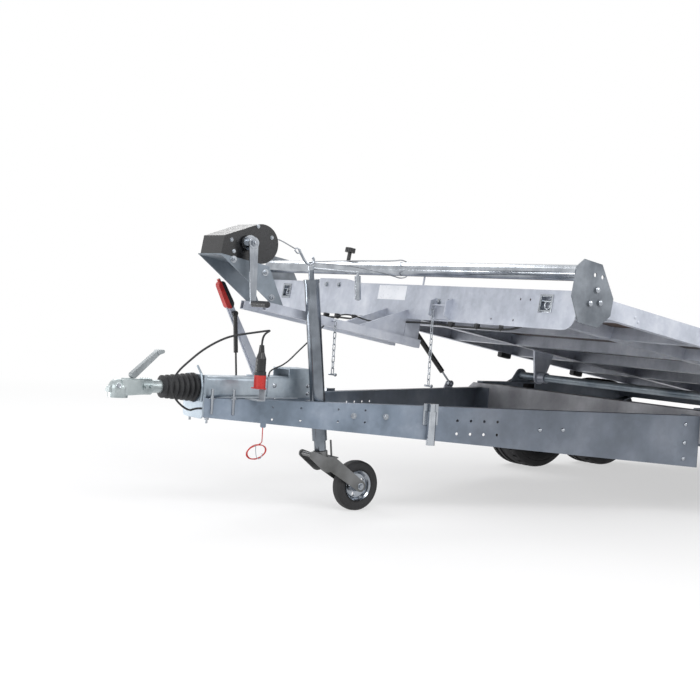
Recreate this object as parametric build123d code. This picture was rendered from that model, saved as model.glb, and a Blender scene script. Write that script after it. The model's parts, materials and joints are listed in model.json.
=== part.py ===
from build123d import *
import math
import os

# Flatbed trailer with a tilting bed, shown with its nose raised.
# +X runs forward along the drawbar, +Y to the left, +Z up from the ground.
# X is first measured from a datum on the drawbar; the last lines centre the whole on X = 0.
# All sizes are in millimetres.

# Wheels and axles
tyre_radius = 250.0
tyre_width = 195.0
wheel_y = 860.0  # centre plane of each road wheel
wheel_front_x = -2090.0
wheel_rear_x = -2620.0
rim_seat_radius = 152.0
rim_flange_height = 13.0
rim_width = 155.0
rim_wall = 3.5
rim_well_depth = 20.0
disc_wall = 5.0
disc_offset = 12.0  # outer face of the wheel disc beyond the wheel's centre plane
disc_hole_radius = 17.0
disc_hole_count = 8
drum_radius = 108.0
drum_width = 62.0
hub_radius = 42.0
hub_cap_length = 38.0
stud_circle_radius = 65.0
stud_radius = 7.0
stud_count = 5
stub_radius = 17.5
backplate_radius = 114.0
backplate_wall = 4.0
axle_tube = 76.0
axle_tube_wall = 6.0
axle_trail = 130.0  # from the axle tube back to the wheel centre
arm_wall = 18.0
arm_end_radius = 36.0
bearing_gap = 0.08
seat_gap = 0.3
brake_gap = 3.0

# Main chassis rails
rail_outer_y = 735.0
rail_flange = 45.0
rail_depth = 130.0
rail_wall = 5.0
rail_top_z = 480.0
rail_rear_x = -2760.0
rail_taper = 230.0  # length over which the lower edge rises at the rear
rail_tail_depth = 70.0
rail_slot_length = 90.0
rail_slot_height = 26.0
rear_cross_x = -2700.0
rear_cross_width = 60.0

# Front cross-member
cross_face_x = -1560.0
cross_overhang = 65.0  # beyond the main rails
cross_top_z = 470.0
cross_depth = 142.0
cross_flange = 70.0
cross_wall = 5.0

# Drawbar legs, two folded channels that meet at the coupling
leg_front_x = 540.0
leg_front_y = 73.0
leg_angle = 17.5
leg_top_z = 448.0
leg_front_depth = 73.0
leg_growth = 0.069  # added depth for each millimetre along the leg
leg_flange = 42.0
leg_wall = 4.0
leg_end_plate = 6.0
leg_hole_radius = 6.0
leg_grid_start = 1054.0  # first column of the rear hole group, along the leg
leg_grid_pitch = 60.0
leg_grid_drop = 54.0
leg_grid_columns = 4
leg_pair_along = (273.0, 388.0, 542.0, 655.0)  # pairs of holes along the front half of the leg
leg_pair_drop = 25.0  # from the leg's top to the upper hole of a pair
leg_pair_gap = 48.0
leg_pair_radius = 4.5
nose_plate_wall = 6.0
nose_hoop = [(68.0, -12.0), (75.0, 45.0), (60.0, 92.0), (28.0, 120.0)]  # Y and rise above the legs' top
nose_hoop_radius = 4.5

# Coupling and overrun device
ball_x = 864.0
ball_z = 477.0
ball_socket_radius = 25.5
head_wall = 12.0
head_top = 38.0  # from the ball centre up to the crown
head_ridge = 30.0  # from the neck's axis up to the ridge that carries the lever
neck_radius = 25.0
neck_z = 485.0
bellows_front_x = 691.0
bellows_radius = 55.5
bellows_root = 41.0
bellows_folds = 6
housing_front_x = 540.0
housing_rear_x = 98.0
housing_half_width = 60.0
housing_height = 82.0
housing_wall = 6.0
housing_flange = 12.0
housing_cheek_front_x = 250.0
housing_cheek_rear_x = 25.0
housing_cheek_wall = 5.0
housing_hood_front_x = 150.0
housing_hood_rear_x = 38.0
housing_hood_height = 38.0
housing_cap_wall = 4.0

# Handbrake
brake_y = -165.0
brake_pivot_x = 134.0
brake_pivot_z = 484.0
brake_lean = 29.1
brake_length = 475.0
brake_grip_length = 118.0
brake_bar_wall = 8.0
brake_bar_width = 46.0
strut_y = -143.0
strut_foot_x = 273.0
strut_foot_z = 511.0
strut_radius = 9.0
strut_rod_radius = 4.0

# Parking socket and plug
socket_x = 352.0
socket_y = 165.0
socket_base_z = 495.0
socket_height = 52.0
socket_radius = 23.0
plug_top_z = 663.0
plug_radius = 20.0
lead_radius = 4.0
lead_route = [
    (352, 165, 663.05),
    (352, 165, 680),
    (352, 175, 701),
    (353, 199, 714),
    (363, 235, 721),
    (389, 263, 722),
    (428, 280, 718),
    (495, 291, 709),
    (569, 300, 698),
    (621, 295, 677),
    (668, 270, 642),
    (694, 230, 602),
    (710, 168, 555),
    (702, 116, 512),
    (689, 90, 472),
    (663, 81, 441),
    (632, 79, 415),
    (600, 77, 401),
    (572, 68, 409),
    (546.05, 68, 409),
]

# Cable from the overrun housing up to the bed
bed_cable_radius = 3.0
bed_cable_route = [
    (240, 50, 534.05),
    (240, 50, 548),
    (230, 50, 560),
    (208, 50, 570),
    (180, 50, 580),
    (148, 51, 601),
    (108, 50, 638),
    (66, 50, 674),
    (24, 51, 712),
    (-12, 52, 751),
    (-52, 53, 783),
    (-106, 54, 799),
    (-164, 56, 793),
    (-222, 57, 777),
    (-284, 58, 774),
    (-328, 59, 783),
]

# Breakaway cable: a straight part and its coil, hung under the left leg
breakaway_tab_x = 312.0
breakaway_tab_width = 22.0
breakaway_tab_wall = 5.0
breakaway_tab_z = 342.0
breakaway_radius = 2.0
breakaway_drop = 62.0
coil_width = 88.0
coil_height = 62.0
coil_section = 9.0
coil_turn = 22.0  # about the vertical, so that the coil's face looks forward and to the left
coil_lean = 25.0
coil_shift = 20.0

# Jockey wheel; its parts are made about the tube's own axis
jockey_x = 38.0
jockey_y = 140.0
jockey_z = 290.0
jockey_lean = 7.76
jockey_tube_radius = 30.0
jockey_tube_wall = 3.0
jockey_tube_length = 636.0
jockey_inner_radius = 24.0
jockey_inner_wall = 3.0
jockey_inner_top = 400.0
jockey_bush_length = 45.0
jockey_reach = 211.0  # along the tube from its foot down to the wheel's axle
jockey_trail = 163.0
jockey_wheel_radius = 103.0
jockey_wheel_width = 56.0
jockey_rim_radius = 62.0
jockey_axle_radius = 8.0
jockey_hub_radius = 23.0
fork_wall = 5.0
fork_head_radius = 29.0
fork_head_height = 30.0
fork_head_top = -43.0
fork_side_gap = 6.0
fork_boss_x = 63.0  # round boss ahead of the tube's axis
fork_boss_z = -47.0
fork_boss_radius = 15.0
fork_knee_z = -98.0
fork_knee_radius = 30.0
fork_pin_x = -53.0
fork_pin_radius = 4.0
fork_pin_height = 71.0
clamp_height = 76.0
clamp_wall = 8.0

# Bed, made level and then tilted about the shaft
pivot_x = -1860.0
pivot_z = 515.0
bed_tilt = 8.95
shaft_radius = 20.0
shaft_gap = 0.08
bed_front_x = -390.0
bed_length = 4000.0
bed_half_width = 1050.0
bed_top_z = 713.0
side_rail_depth = 70.0
side_rail_flange = 40.0
side_rail_wall = 3.0
floor_thickness = 12.0
floor_gap = 3.0  # between the floor's edges and the flanges round it
panel_depth = 147.0
panel_wall = 3.0
panel_corner = 60.0
panel_flange = 42.0
panel_saddle = [(-640.0, 0.0), (-620.0, 16.0), (-414.0, 16.0), (-285.0, 0.0)]  # Y and rise above the panel
panel_post_y = 137.0
panel_post_radius = 4.0
panel_hole_radius = 4.5
panel_holes = [(745.0, 107.0), (799.0, 107.0), (600.0, 24.0), (725.0, 24.0)]  # Y and height in the panel
chain_bracket_y = 303.0
chain_bracket_width = 104.0
chain_bracket_low = 8.0  # above the panel's lower edge
chain_bracket_height = 87.0
chain_bracket_reach = 34.0
chain_bracket_pin_x = -366.0
chain_bracket_pin_z = 628.0
chain_bracket_wall = 5.0
longitudinal_y = 570.0
longitudinal_width = 50.0
member_wall = 3.0
member_width = 40.0
member_first = 230.0  # first cross-member behind the bed's front
member_last = 340.0  # last cross-member ahead of the bed's rear
member_count = 8
ear_wall = 12.0
ear_radius = 36.0
rear_beam_depth = 120.0
rear_beam_flange = 42.0
lamp_width = 220.0
lamp_height = 84.0
lamp_thickness = 28.0
lamp_inset = 60.0

# What the bed carries at its front
stop_tube_x = -372.0
stop_tube_z = 776.0
stop_tube_radius = 30.0
stop_tube_wall = 3.0
end_plate_wall = 5.0
end_plate_front_x = -345.0
end_plate_rear_x = -560.0
end_plate_top_z = 830.0
end_plate_bottom_z = 600.0
end_plate_chamfer = 55.0
end_plate_bolts = [(50.0, 0.0), (100.0, 12.0), (75.0, 55.0)]  # behind the panel and above the rail's middle
knob_y = -400.0
knob_radius = 25.0
lash_y = 886.0
lash_z = 661.0
lash_size = 54.0
lash_depth = 20.0
lash_wall = 2.0
fork_inner_y = 70.0
fork_rail_width = 28.0
fork_rail_height = 35.0
fork_bottom_z = 455.0
fork_front_x = 320.0
fork_rear_x = -470.0
fork_rail_wall = 3.0
fork_gusset_x = -150.0
buffer_front_x = -2005.0
buffer_rear_x = -2600.0
buffer_length = 75.0
buffer_height = 28.0
buffer_width = 32.0

# Winch
winch_x = 385.0
winch_z = 705.0
winch_radius = 77.0
winch_front_x = 553.0
winch_front_top_z = 700.0
winch_half_width = 80.0
winch_wall = 2.5
winch_bracket_half_width = 90.0
winch_bracket_wall = 5.0
crank_hub_x = 449.0
crank_hub_z = 694.0
crank_hub_radius = 30.0
crank_hub_length = 44.0
crank_end_x = 400.0
crank_end_z = 467.0
crank_wall = 6.0
crank_width = 20.0
crank_grip_radius = 12.5
crank_grip_length = 105.0

# Damper between the drawbar and the bed
damper_y = -600.0
damper_foot_x = -1262.0
damper_foot_z = 472.0
damper_head_x = -888.0  # with the bed level
damper_head_z = 668.0
damper_tube_radius = 13.0
damper_rod_radius = 5.0
damper_rod_shown = 85.0
damper_eye_radius = 16.0
damper_eye_width = 16.0
damper_pin_radius = 6.0
damper_eye_play = 4.0  # room round the foot pin, where the linkage is opened

# Chains that hold the bed locks' pins; they hang straight down with the bed raised
chain_pitch = 24.0
chain_width = 15.0
chain_wire = 4.2
link_overlap = 0.3  # that joins each link to the next
chain_pin_length = 46.0
chain_pin_radius = 4.0
chain_hook_radius = 3.0
chain_play = 0.1  # between a chain's first link and what it hangs from
front_chain_y = 121.0
front_chain_links = 9
rear_chain_y = 265.0
rear_chain_links = 14
chain_eye_x = 0.0  # pin on the nose fork, with the bed level
chain_eye_z = 478.0
chain_eye_end_y = 128.0

# Bed locks on the legs
lock_along = 932.0  # along the leg from its front end
lock_radius = 18.0
lock_bottom_z = 293.0
lock_top_z = 459.0


def block(x, y, z):
    """Box between a low and a high value on each axis."""
    size = Box(abs(x[1] - x[0]), abs(y[1] - y[0]), abs(z[1] - z[0]))
    return Pos((x[0] + x[1]) / 2, (y[0] + y[1]) / 2, (z[0] + z[1]) / 2) * size


def bar(start, end, radius):
    """Round bar between two points."""
    way = Vector(*end) - Vector(*start)
    return extrude(Plane(origin=start, z_dir=way) * Circle(radius), amount=way.length)


def pipe(start, end, radius, wall):
    """Round tube between two points."""
    way = Vector(*end) - Vector(*start)
    ring = Circle(radius) - Circle(radius - wall)
    return extrude(Plane(origin=start, z_dir=way) * ring, amount=way.length)


def side_plate(points, y_low, y_high):
    """Plate with an outline in X and Z, between two values of Y."""
    face = make_face(Polyline([(x, y_low, z) for x, z in points], close=True))
    return extrude(face, amount=y_high - y_low, dir=(0, 1, 0))


def cross_plate(points, x_low, x_high):
    """Plate with an outline in Y and Z, between two values of X."""
    face = make_face(Polyline([(x_low, y, z) for y, z in points], close=True))
    return extrude(face, amount=x_high - x_low, dir=(1, 0, 0))


def folded(points, wall):
    """Outline of a folded sheet whose thickness lies to the left of the points."""
    ways = []
    for start, end in zip(points, points[1:]):
        length = math.dist(start, end)
        ways.append(((end[0] - start[0]) / length, (end[1] - start[1]) / length))
    inner = []
    for i, (u, v) in enumerate(points):
        before = ways[max(i - 1, 0)]
        after = ways[min(i, len(ways) - 1)]
        share = wall / (1 + before[0] * after[0] + before[1] * after[1])
        inner.append((u - share * (before[1] + after[1]), v + share * (before[0] + after[0])))
    return points + inner[::-1]


def turned(points):
    """Ring about the Y axis from an outline of distance along Y and radius."""
    return revolve(make_face(Polyline([(r, w, 0) for w, r in points], close=True)), axis=Axis.Y)


def both_sides(shape):
    """A shape and its mirror image across the trailer's middle."""
    return shape + mirror(shape, about=Plane.XZ)


def right_side(shape):
    """Mirror image across the trailer's middle."""
    return mirror(shape, about=Plane.XZ)


def strap(start, end, radius_start, radius_end, y_low, y_high):
    """Flat link with round ends, in a plane of constant Y; start and end are X and Z."""
    way = math.atan2(end[1] - start[1], end[0] - start[0])
    length = math.dist(start, end)
    lean = math.acos((radius_start - radius_end) / length)
    corners = []
    for (x, z), radius, turns in ((start, radius_start, (1, -1)), (end, radius_end, (-1, 1))):
        for turn in turns:
            angle = way + turn * lean
            corners.append((x + radius * math.cos(angle), z + radius * math.sin(angle)))
    link = side_plate(corners, y_low, y_high)
    link += bar((start[0], y_low, start[1]), (start[0], y_high, start[1]), radius_start)
    link += bar((end[0], y_low, end[1]), (end[0], y_high, end[1]), radius_end)
    return link


# Places that several pieces share
rail_bottom_z = rail_top_z - rail_depth
rail_inner_y = rail_outer_y - rail_flange
cross_half_width = rail_outer_y + cross_overhang
member_pitch = (bed_length - member_first - member_last) / (member_count - 1)
leg_cos = math.cos(math.radians(leg_angle))
leg_sin = math.sin(math.radians(leg_angle))
leg_length = (leg_front_x - cross_face_x) / leg_cos
leg_place = Pos(leg_front_x, leg_front_y, 0) * Rot(0, 0, 180 - leg_angle)
side_rail_bottom_z = bed_top_z - side_rail_depth
floor_top_z = bed_top_z - side_rail_wall
floor_bottom_z = floor_top_z - floor_thickness
bed_rear_x = bed_front_x - bed_length
rail_start_x = bed_front_x - panel_wall - 0.5
jockey_place = Pos(jockey_x, jockey_y, jockey_z) * Rot(0, jockey_lean, 0)
axle_z = rail_bottom_z - axle_tube / 2
fork_top_z = fork_bottom_z + fork_rail_height
bracket_base_z = winch_z - winch_radius


def leg_bottom(along):
    """Height of a leg's lower edge at a distance along it."""
    return leg_top_z - leg_front_depth - leg_growth * along


def leg_point(along, inward, z):
    """Point at a distance along the left leg, inward from its outer face."""
    x = leg_front_x - along * leg_cos - inward * leg_sin
    return (x, leg_front_y + along * leg_sin - inward * leg_cos, z)


def leg_along(x):
    """Distance along a leg of the point of its outer face at X."""
    return (leg_front_x - x) / leg_cos


def tilted(shape):
    """Turn a piece of the level bed to its raised rest place."""
    back = Pos(-pivot_x, 0, -pivot_z) * shape
    return Pos(pivot_x, 0, pivot_z) * Rot(0, -bed_tilt, 0) * back


def raised(x, z):
    """X and Z, with the bed raised, of a point of the level bed."""
    turn = math.radians(bed_tilt)
    ahead = x - pivot_x
    above = z - pivot_z
    return (
        pivot_x + ahead * math.cos(turn) - above * math.sin(turn),
        pivot_z + ahead * math.sin(turn) + above * math.cos(turn),
    )


def make_leg():
    """Left drawbar leg: a folded channel, open inward, deeper towards the rear."""
    reach = leg_length + leg_flange
    outline = [(0, leg_top_z), (reach, leg_top_z), (reach, leg_bottom(reach)), (0, leg_bottom(0))]
    leg = side_plate(outline, 0, leg_flange)
    hollow = [
        (-1, leg_top_z - leg_wall),
        (reach + 1, leg_top_z - leg_wall),
        (reach + 1, leg_bottom(reach + 1) + leg_wall),
        (-1, leg_bottom(-1) + leg_wall),
    ]
    leg -= side_plate(hollow, leg_wall, leg_flange + 1)
    grid_z = leg_top_z - leg_grid_drop
    for column in range(leg_grid_columns):
        along = leg_grid_start + column * leg_grid_pitch
        for drop in (0, leg_grid_drop):
            leg -= bar((along, -1, grid_z - drop), (along, leg_wall + 1, grid_z - drop), leg_hole_radius)
    pair_z = leg_top_z - leg_pair_drop
    for along in leg_pair_along:
        for drop in (0, leg_pair_gap):
            leg -= bar((along, -1, pair_z - drop), (along, leg_wall + 1, pair_z - drop), leg_pair_radius)
    leg = leg_place * leg
    plate_x = cross_face_x + leg_end_plate
    leg -= block((cross_face_x - leg_length, plate_x), (0, leg_length), (0, leg_top_z + 1))
    outer_y = leg_point(leg_along(plate_x), 0, 0)[1]
    low = leg_bottom(leg_along(plate_x))
    leg += block((cross_face_x, plate_x), (outer_y - 100, outer_y), (low, leg_top_z))
    return leg


def make_breakaway_tab():
    """Small tab under the left leg that the breakaway cable hangs from."""
    along = leg_along(breakaway_tab_x)
    half = breakaway_tab_width / 2
    tab = block((along - half, along + half), (0, breakaway_tab_wall), (breakaway_tab_z, leg_bottom(along) + 4))
    corners = tab.edges().filter_by(Axis.Y).sort_by(Axis.Z)[:2]
    return leg_place * fillet(corners, 6)


def make_rail():
    """Left main rail: a channel open inward, with the ear that carries the tilt shaft."""
    start_x = cross_face_x - cross_wall
    tail_z = rail_top_z - rail_tail_depth
    taper_x = rail_rear_x + rail_taper
    outline = [
        (start_x, rail_top_z),
        (rail_rear_x, rail_top_z),
        (rail_rear_x, tail_z),
        (taper_x, rail_bottom_z),
        (start_x, rail_bottom_z),
    ]
    rise = rail_wall
    hollow = [
        (start_x + 1, rail_top_z - rise),
        (rail_rear_x - 1, rail_top_z - rise),
        (rail_rear_x - 1, tail_z + rise),
        (taper_x, rail_bottom_z + rise),
        (start_x + 1, rail_bottom_z + rise),
    ]
    rail = side_plate(outline, rail_inner_y, rail_outer_y)
    rail -= side_plate(hollow, rail_inner_y - 1, rail_outer_y - rail_wall)
    slot_x = pivot_x - ear_radius - rail_slot_length
    slot_z = rail_top_z - 2 * rail_wall - rail_slot_height
    rail -= block(
        (slot_x, slot_x + rail_slot_length),
        (rail_inner_y, rail_outer_y + 1),
        (slot_z, slot_z + rail_slot_height),
    )
    ear = side_plate(
        [
            (pivot_x - 2 * ear_radius, rail_top_z),
            (pivot_x + 2 * ear_radius, rail_top_z),
            (pivot_x + ear_radius * 0.8, pivot_z + ear_radius * 0.6),
            (pivot_x - ear_radius * 0.8, pivot_z + ear_radius * 0.6),
        ],
        rail_outer_y - 2 * ear_wall,
        rail_outer_y - ear_wall,
    )
    ear += bar(
        (pivot_x, rail_outer_y - 2 * ear_wall, pivot_z),
        (pivot_x, rail_outer_y - ear_wall, pivot_z),
        ear_radius,
    )
    rail += ear
    rail -= bar((pivot_x, rail_inner_y - 1, pivot_z), (pivot_x, rail_outer_y + 1, pivot_z), shaft_radius)
    return rail


def make_front_cross_member():
    """Deep folded plate across the front of the main rails."""
    low_z = cross_top_z - cross_depth
    web = [
        (-cross_half_width, cross_top_z - 30),
        (-cross_half_width + 40, cross_top_z),
        (cross_half_width - 40, cross_top_z),
        (cross_half_width, cross_top_z - 30),
        (cross_half_width, low_z),
        (-cross_half_width, low_z),
    ]
    member = cross_plate(web, cross_face_x - cross_wall, cross_face_x)
    between = (-rail_inner_y, rail_inner_y)
    for z in (low_z, cross_top_z - cross_wall):
        member += block((cross_face_x - cross_flange, cross_face_x), between, (z, z + cross_wall))
    return member


def make_rear_cross_member():
    """Channel between the main rails near their rear ends."""
    half = rail_outer_y - rail_wall
    member = folded(
        [
            (rear_cross_x - rear_cross_width / 2, rail_top_z - rail_wall),
            (rear_cross_x + rear_cross_width / 2, rail_top_z - rail_wall),
            (rear_cross_x + rear_cross_width / 2, rail_top_z - rail_tail_depth),
            (rear_cross_x - rear_cross_width / 2, rail_top_z - rail_tail_depth),
        ],
        -rail_wall,
    )
    return side_plate(member, -half, half)


def make_axle(wheel_x):
    """Torsion axle: square tube, trailing arms, stubs and brake backplates."""
    tube_x = wheel_x + axle_trail
    half = axle_tube / 2
    inner = half - axle_tube_wall
    tube = block((tube_x - half, tube_x + half), (-rail_outer_y, rail_outer_y), (axle_z - half, axle_z + half))
    tube = fillet(tube.edges().filter_by(Axis.Y), axle_tube_wall * 1.5)
    bore = block((tube_x - inner, tube_x + inner), (-rail_outer_y, rail_outer_y), (axle_z - inner, axle_z + inner))
    tube -= bore
    arm_y = rail_outer_y
    plate_y = wheel_y - drum_inner - brake_gap
    arm = strap((tube_x, axle_z), (wheel_x, tyre_radius), arm_end_radius + 4, arm_end_radius, arm_y, arm_y + arm_wall)
    arm += bar((wheel_x, arm_y + arm_wall, tyre_radius), (wheel_x, plate_y, tyre_radius), arm_end_radius)
    arm += bar((wheel_x, plate_y - backplate_wall, tyre_radius), (wheel_x, plate_y, tyre_radius), backplate_radius)
    stub_end = wheel_y + disc_offset + 20
    arm += bar((wheel_x, plate_y, tyre_radius), (wheel_x, stub_end, tyre_radius), stub_radius)
    return tube + both_sides(arm)


drum_inner = tyre_width / 2 - 1.5  # from the wheel's centre plane in to the drum's open side


def make_rim():
    """Pressed steel rim with its disc, brake drum, hub and studs, about the Y axis."""
    half = rim_width / 2
    well = rim_seat_radius - rim_well_depth
    lip = rim_seat_radius + rim_flange_height
    path = [
        (-half, lip),
        (-half + 5, lip - 2),
        (-half + 7, rim_seat_radius),
        (-half + 35, rim_seat_radius - 2),
        (-half + 45, well),
        (disc_offset, well),
        (disc_offset + 12, rim_seat_radius - 2),
        (half - 7, rim_seat_radius),
        (half - 5, lip - 2),
        (half, lip),
    ]
    rim = turned(folded(path, -rim_wall))
    dish = [
        (disc_offset, well - rim_wall + 1),
        (disc_offset - 6, well - 16),
        (disc_offset + 16, well - 34),
        (disc_offset + 16, hub_radius + 48),
        (disc_offset, hub_radius + 38),
        (disc_offset, stub_radius + bearing_gap),
    ]
    disc = turned(folded(dish, -disc_wall))
    for i in range(disc_hole_count):
        turn = Rot(0, 360 * i / disc_hole_count, 0)
        middle = well - 34
        disc -= turn * bar((middle, -half, 0), (middle, half, 0), disc_hole_radius)
    drum = turned(
        [
            (-drum_inner, stub_radius + bearing_gap),
            (-drum_inner, drum_radius),
            (-drum_inner + 6, drum_radius + 3),
            (-drum_inner + drum_width, drum_radius - 2),
            (-drum_inner + drum_width + 8, hub_radius + 28),
            (disc_offset - disc_wall, hub_radius + 28),
            (disc_offset - disc_wall, stub_radius + bearing_gap),
        ]
    )
    cap_start = disc_offset
    cap_end = disc_offset + hub_cap_length
    hub = turned(
        [
            (cap_start, stub_radius + bearing_gap),
            (cap_start, hub_radius),
            (cap_end - 10, hub_radius - 6),
            (cap_end, hub_radius - 18),
            (cap_end, 0),
            (cap_end - 6, 0),
            (cap_end - 6, stub_radius + bearing_gap),
        ]
    )
    rim += disc
    rim += drum
    rim += hub
    for i in range(stud_count):
        turn = Rot(0, 360 * i / stud_count, 0)
        rim += turn * bar((stud_circle_radius, disc_offset, 0), (stud_circle_radius, disc_offset + 18, 0), stud_radius)
    return rim


def make_tyre():
    """Tyre about the Y axis, seated between the rim's flanges, with rounded walls."""
    radius = tyre_radius
    half = tyre_width / 2
    seat = rim_seat_radius + seat_gap
    seat_half = rim_width / 2 - 7 - seat_gap
    height = radius - seat
    side = [
        (seat_half, seat),
        (seat_half, seat + rim_flange_height),
        (half * 0.93, seat + rim_flange_height + 6),
        (half, seat + height * 0.45),
        (half * 0.98, seat + height * 0.72),
        (half * 0.87, radius - height * 0.06),
        (half * 0.68, radius - height * 0.008),
    ]
    crown = [(0, radius)]
    other = [(-w, r) for w, r in side[::-1]]
    inside = [(-seat_half + 8, seat), (-half * 0.84, seat + height * 0.45), (-half * 0.72, radius - height * 0.16)]
    back = [(-w, r) for w, r in inside[::-1]]
    return turned(side + crown + other + inside + back)


def road_wheel_place(x):
    """Where a left road wheel goes."""
    return Pos(x, wheel_y, tyre_radius)


def make_coupling():
    """Coupling head: domed socket, tapering body and the round neck behind it."""
    outer = ball_socket_radius + head_wall
    head = Pos(ball_x, 0, ball_z - 34) * Cylinder(outer, 34, align=(Align.CENTER, Align.CENTER, Align.MIN))
    head += Pos(ball_x, 0, ball_z) * Sphere(outer)
    tip = side_plate(
        [(ball_x, ball_z - 20), (ball_x + outer + 6.5, ball_z - 14), (ball_x + outer + 3, ball_z + 6), (ball_x, ball_z + 30)],
        -17,
        17,
    )
    head += tip
    body = loft(
        [
            Plane(origin=(ball_x, 0, ball_z + 4), z_dir=(-1, 0, 0)) * Rectangle(60, 2 * outer - 4),
            Plane(origin=(ball_x - 95, 0, neck_z - 2), z_dir=(-1, 0, 0)) * Rectangle(54, 56),
        ]
    )
    head += body
    head += side_plate(
        [
            (ball_x - 95, neck_z - 25),
            (ball_x - 95, neck_z + head_ridge - 6),
            (ball_x - 58, neck_z + head_ridge),
            (ball_x - 20, ball_z + head_top),
            (ball_x - 10, ball_z),
        ],
        -16,
        16,
    )
    head += bar((housing_front_x - 100, 0, neck_z), (ball_x - 60, 0, neck_z), neck_radius)
    collar_x = ball_x - 130
    head += bar((collar_x, 0, neck_z), (ball_x - 90, 0, neck_z), neck_radius + 7)
    for x in (collar_x + 10, collar_x + 30):
        head += bar((x, -neck_radius - 16, neck_z), (x, neck_radius + 16, neck_z), 7)
    head -= Pos(ball_x, 0, ball_z) * Sphere(ball_socket_radius)
    head -= bar((ball_x, 0, ball_z - 60), (ball_x, 0, ball_z), ball_socket_radius)
    return head


def make_coupling_lever():
    """Release lever that rises backward from the top of the coupling."""
    foot = (ball_x - 58, neck_z + head_ridge + 12)
    tip = (ball_x - 156, neck_z + 130)
    lever = strap(foot, tip, 12, 9, -13, 13)
    lever += strap(tip, (tip[0] - 14, tip[1] + 3), 9, 7, -17, 17)
    return lever


def make_bellows():
    """Rubber bellows over the overrun device's neck."""
    bellows_rear_x = housing_front_x
    pitch = (bellows_front_x - bellows_rear_x) / (bellows_folds + 1)
    outline = [(bellows_rear_x, neck_radius + 0.3), (bellows_rear_x, bellows_root + 4)]
    for fold in range(bellows_folds + 1):
        start = bellows_rear_x + fold * pitch
        shrink = 12 * fold / bellows_folds
        outline.append((start + pitch * 0.15, bellows_root - shrink * 0.3))
        outline.append((start + pitch * 0.45, bellows_radius - shrink))
        outline.append((start + pitch * 0.75, bellows_radius - shrink))
    outline.append((bellows_front_x, bellows_root - 12))
    outline.append((bellows_front_x, neck_radius + 0.3))
    face = make_face(Polyline([(x, r, 0) for x, r in outline], close=True))
    return Pos(0, 0, neck_z) * revolve(face, axis=Axis.X)


def make_housing():
    """Overrun housing: a box tube on the legs with its front flange and rear shackle."""
    top = leg_top_z + housing_height
    half = housing_half_width
    case = block((housing_rear_x, housing_front_x), (-half, half), (leg_top_z, top))
    case = fillet(case.edges().filter_by(Axis.X), 14)
    inner = block(
        (housing_rear_x - 1, housing_front_x - housing_wall),
        (-half + housing_wall, half - housing_wall),
        (leg_top_z + housing_wall, top - housing_wall),
    )
    case -= inner
    flange = block((housing_front_x - housing_flange, housing_front_x), (-half - 8, half + 8), (leg_top_z, top + 6))
    case += flange
    case -= bar((housing_front_x - 60, 0, neck_z), (housing_front_x + 1, 0, neck_z), neck_radius + 0.3)
    bearing = pipe((housing_front_x, 0, neck_z), (housing_front_x - 60, 0, neck_z), neck_radius + 10, 9.7)
    case += bearing
    cheek = block((housing_cheek_rear_x, housing_cheek_front_x), (half, half + housing_cheek_wall), (leg_top_z + 4, top))
    case += both_sides(cheek)
    cap_front = housing_cheek_front_x + 30
    case += block((housing_hood_rear_x, cap_front), (-half + 6, half - 6), (top, top + housing_cap_wall))
    hood_top = top + housing_hood_height
    hood = [(-half, top - 14), (-half, hood_top), (half, hood_top), (half, top - 14)]
    hood_sheet = folded(hood, -housing_cap_wall)
    case += cross_plate(hood_sheet, housing_hood_rear_x, housing_hood_front_x)
    return case


def make_nose_plate():
    """Plate that closes the legs' front ends, with the round hoop that guides the cables."""
    half = leg_front_y + nose_plate_wall / 2
    face_x = leg_front_x + nose_plate_wall
    plate = block((leg_front_x, face_x), (-half, half), (leg_bottom(0) - 6, leg_top_z + 14))
    corners = plate.edges().filter_by(Axis.X).sort_by(Axis.Z)[:2]
    plate = fillet(corners, 18)
    plate -= bar((leg_front_x - 1, 0, neck_z), (face_x + 1, 0, neck_z), bellows_radius + 3)
    hoop_x = face_x + nose_hoop_radius - 1
    way = [(hoop_x, y, leg_top_z + rise) for y, rise in nose_hoop]
    for start, end in zip(way, way[1:]):
        plate += bar(start, end, nose_hoop_radius)
        plate += Pos(*end) * Sphere(nose_hoop_radius)
    return plate


def make_brake_bracket():
    """Folded bracket on the right leg that carries the handbrake lever and its strut."""
    inner = brake_y + 34
    outer = brake_y - 34
    base = block((brake_pivot_x - 70, strut_foot_x + 30), (outer, inner), (leg_top_z, leg_top_z + 6))
    cheek = [
        (brake_pivot_x - 60, leg_top_z),
        (brake_pivot_x + 90, leg_top_z),
        (brake_pivot_x + 30, brake_pivot_z + 34),
        (brake_pivot_x - 30, brake_pivot_z + 34),
    ]
    bracket = base
    for y in (brake_y - 24, brake_y + 24 - winch_bracket_wall):
        bracket += side_plate(cheek, y, y + winch_bracket_wall)
    bracket += bar((brake_pivot_x, brake_y - 30, brake_pivot_z), (brake_pivot_x, brake_y + 30, brake_pivot_z), 9)
    lug = [
        (strut_foot_x - 20, leg_top_z),
        (strut_foot_x + 20, leg_top_z),
        (strut_foot_x + 9, strut_foot_z + 9),
        (strut_foot_x - 9, strut_foot_z + 9),
    ]
    lug_y = strut_y - strut_radius - 2
    bracket += side_plate(lug, lug_y - 4, lug_y)
    bracket += bar((strut_foot_x, lug_y - 4, strut_foot_z), (strut_foot_x, strut_y + 4, strut_foot_z), 4)
    return bracket


def brake_point(along):
    """X and Z of a point on the handbrake lever's middle line."""
    lean = math.radians(brake_lean)
    return (brake_pivot_x + along * math.sin(lean), brake_pivot_z + along * math.cos(lean))


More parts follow.
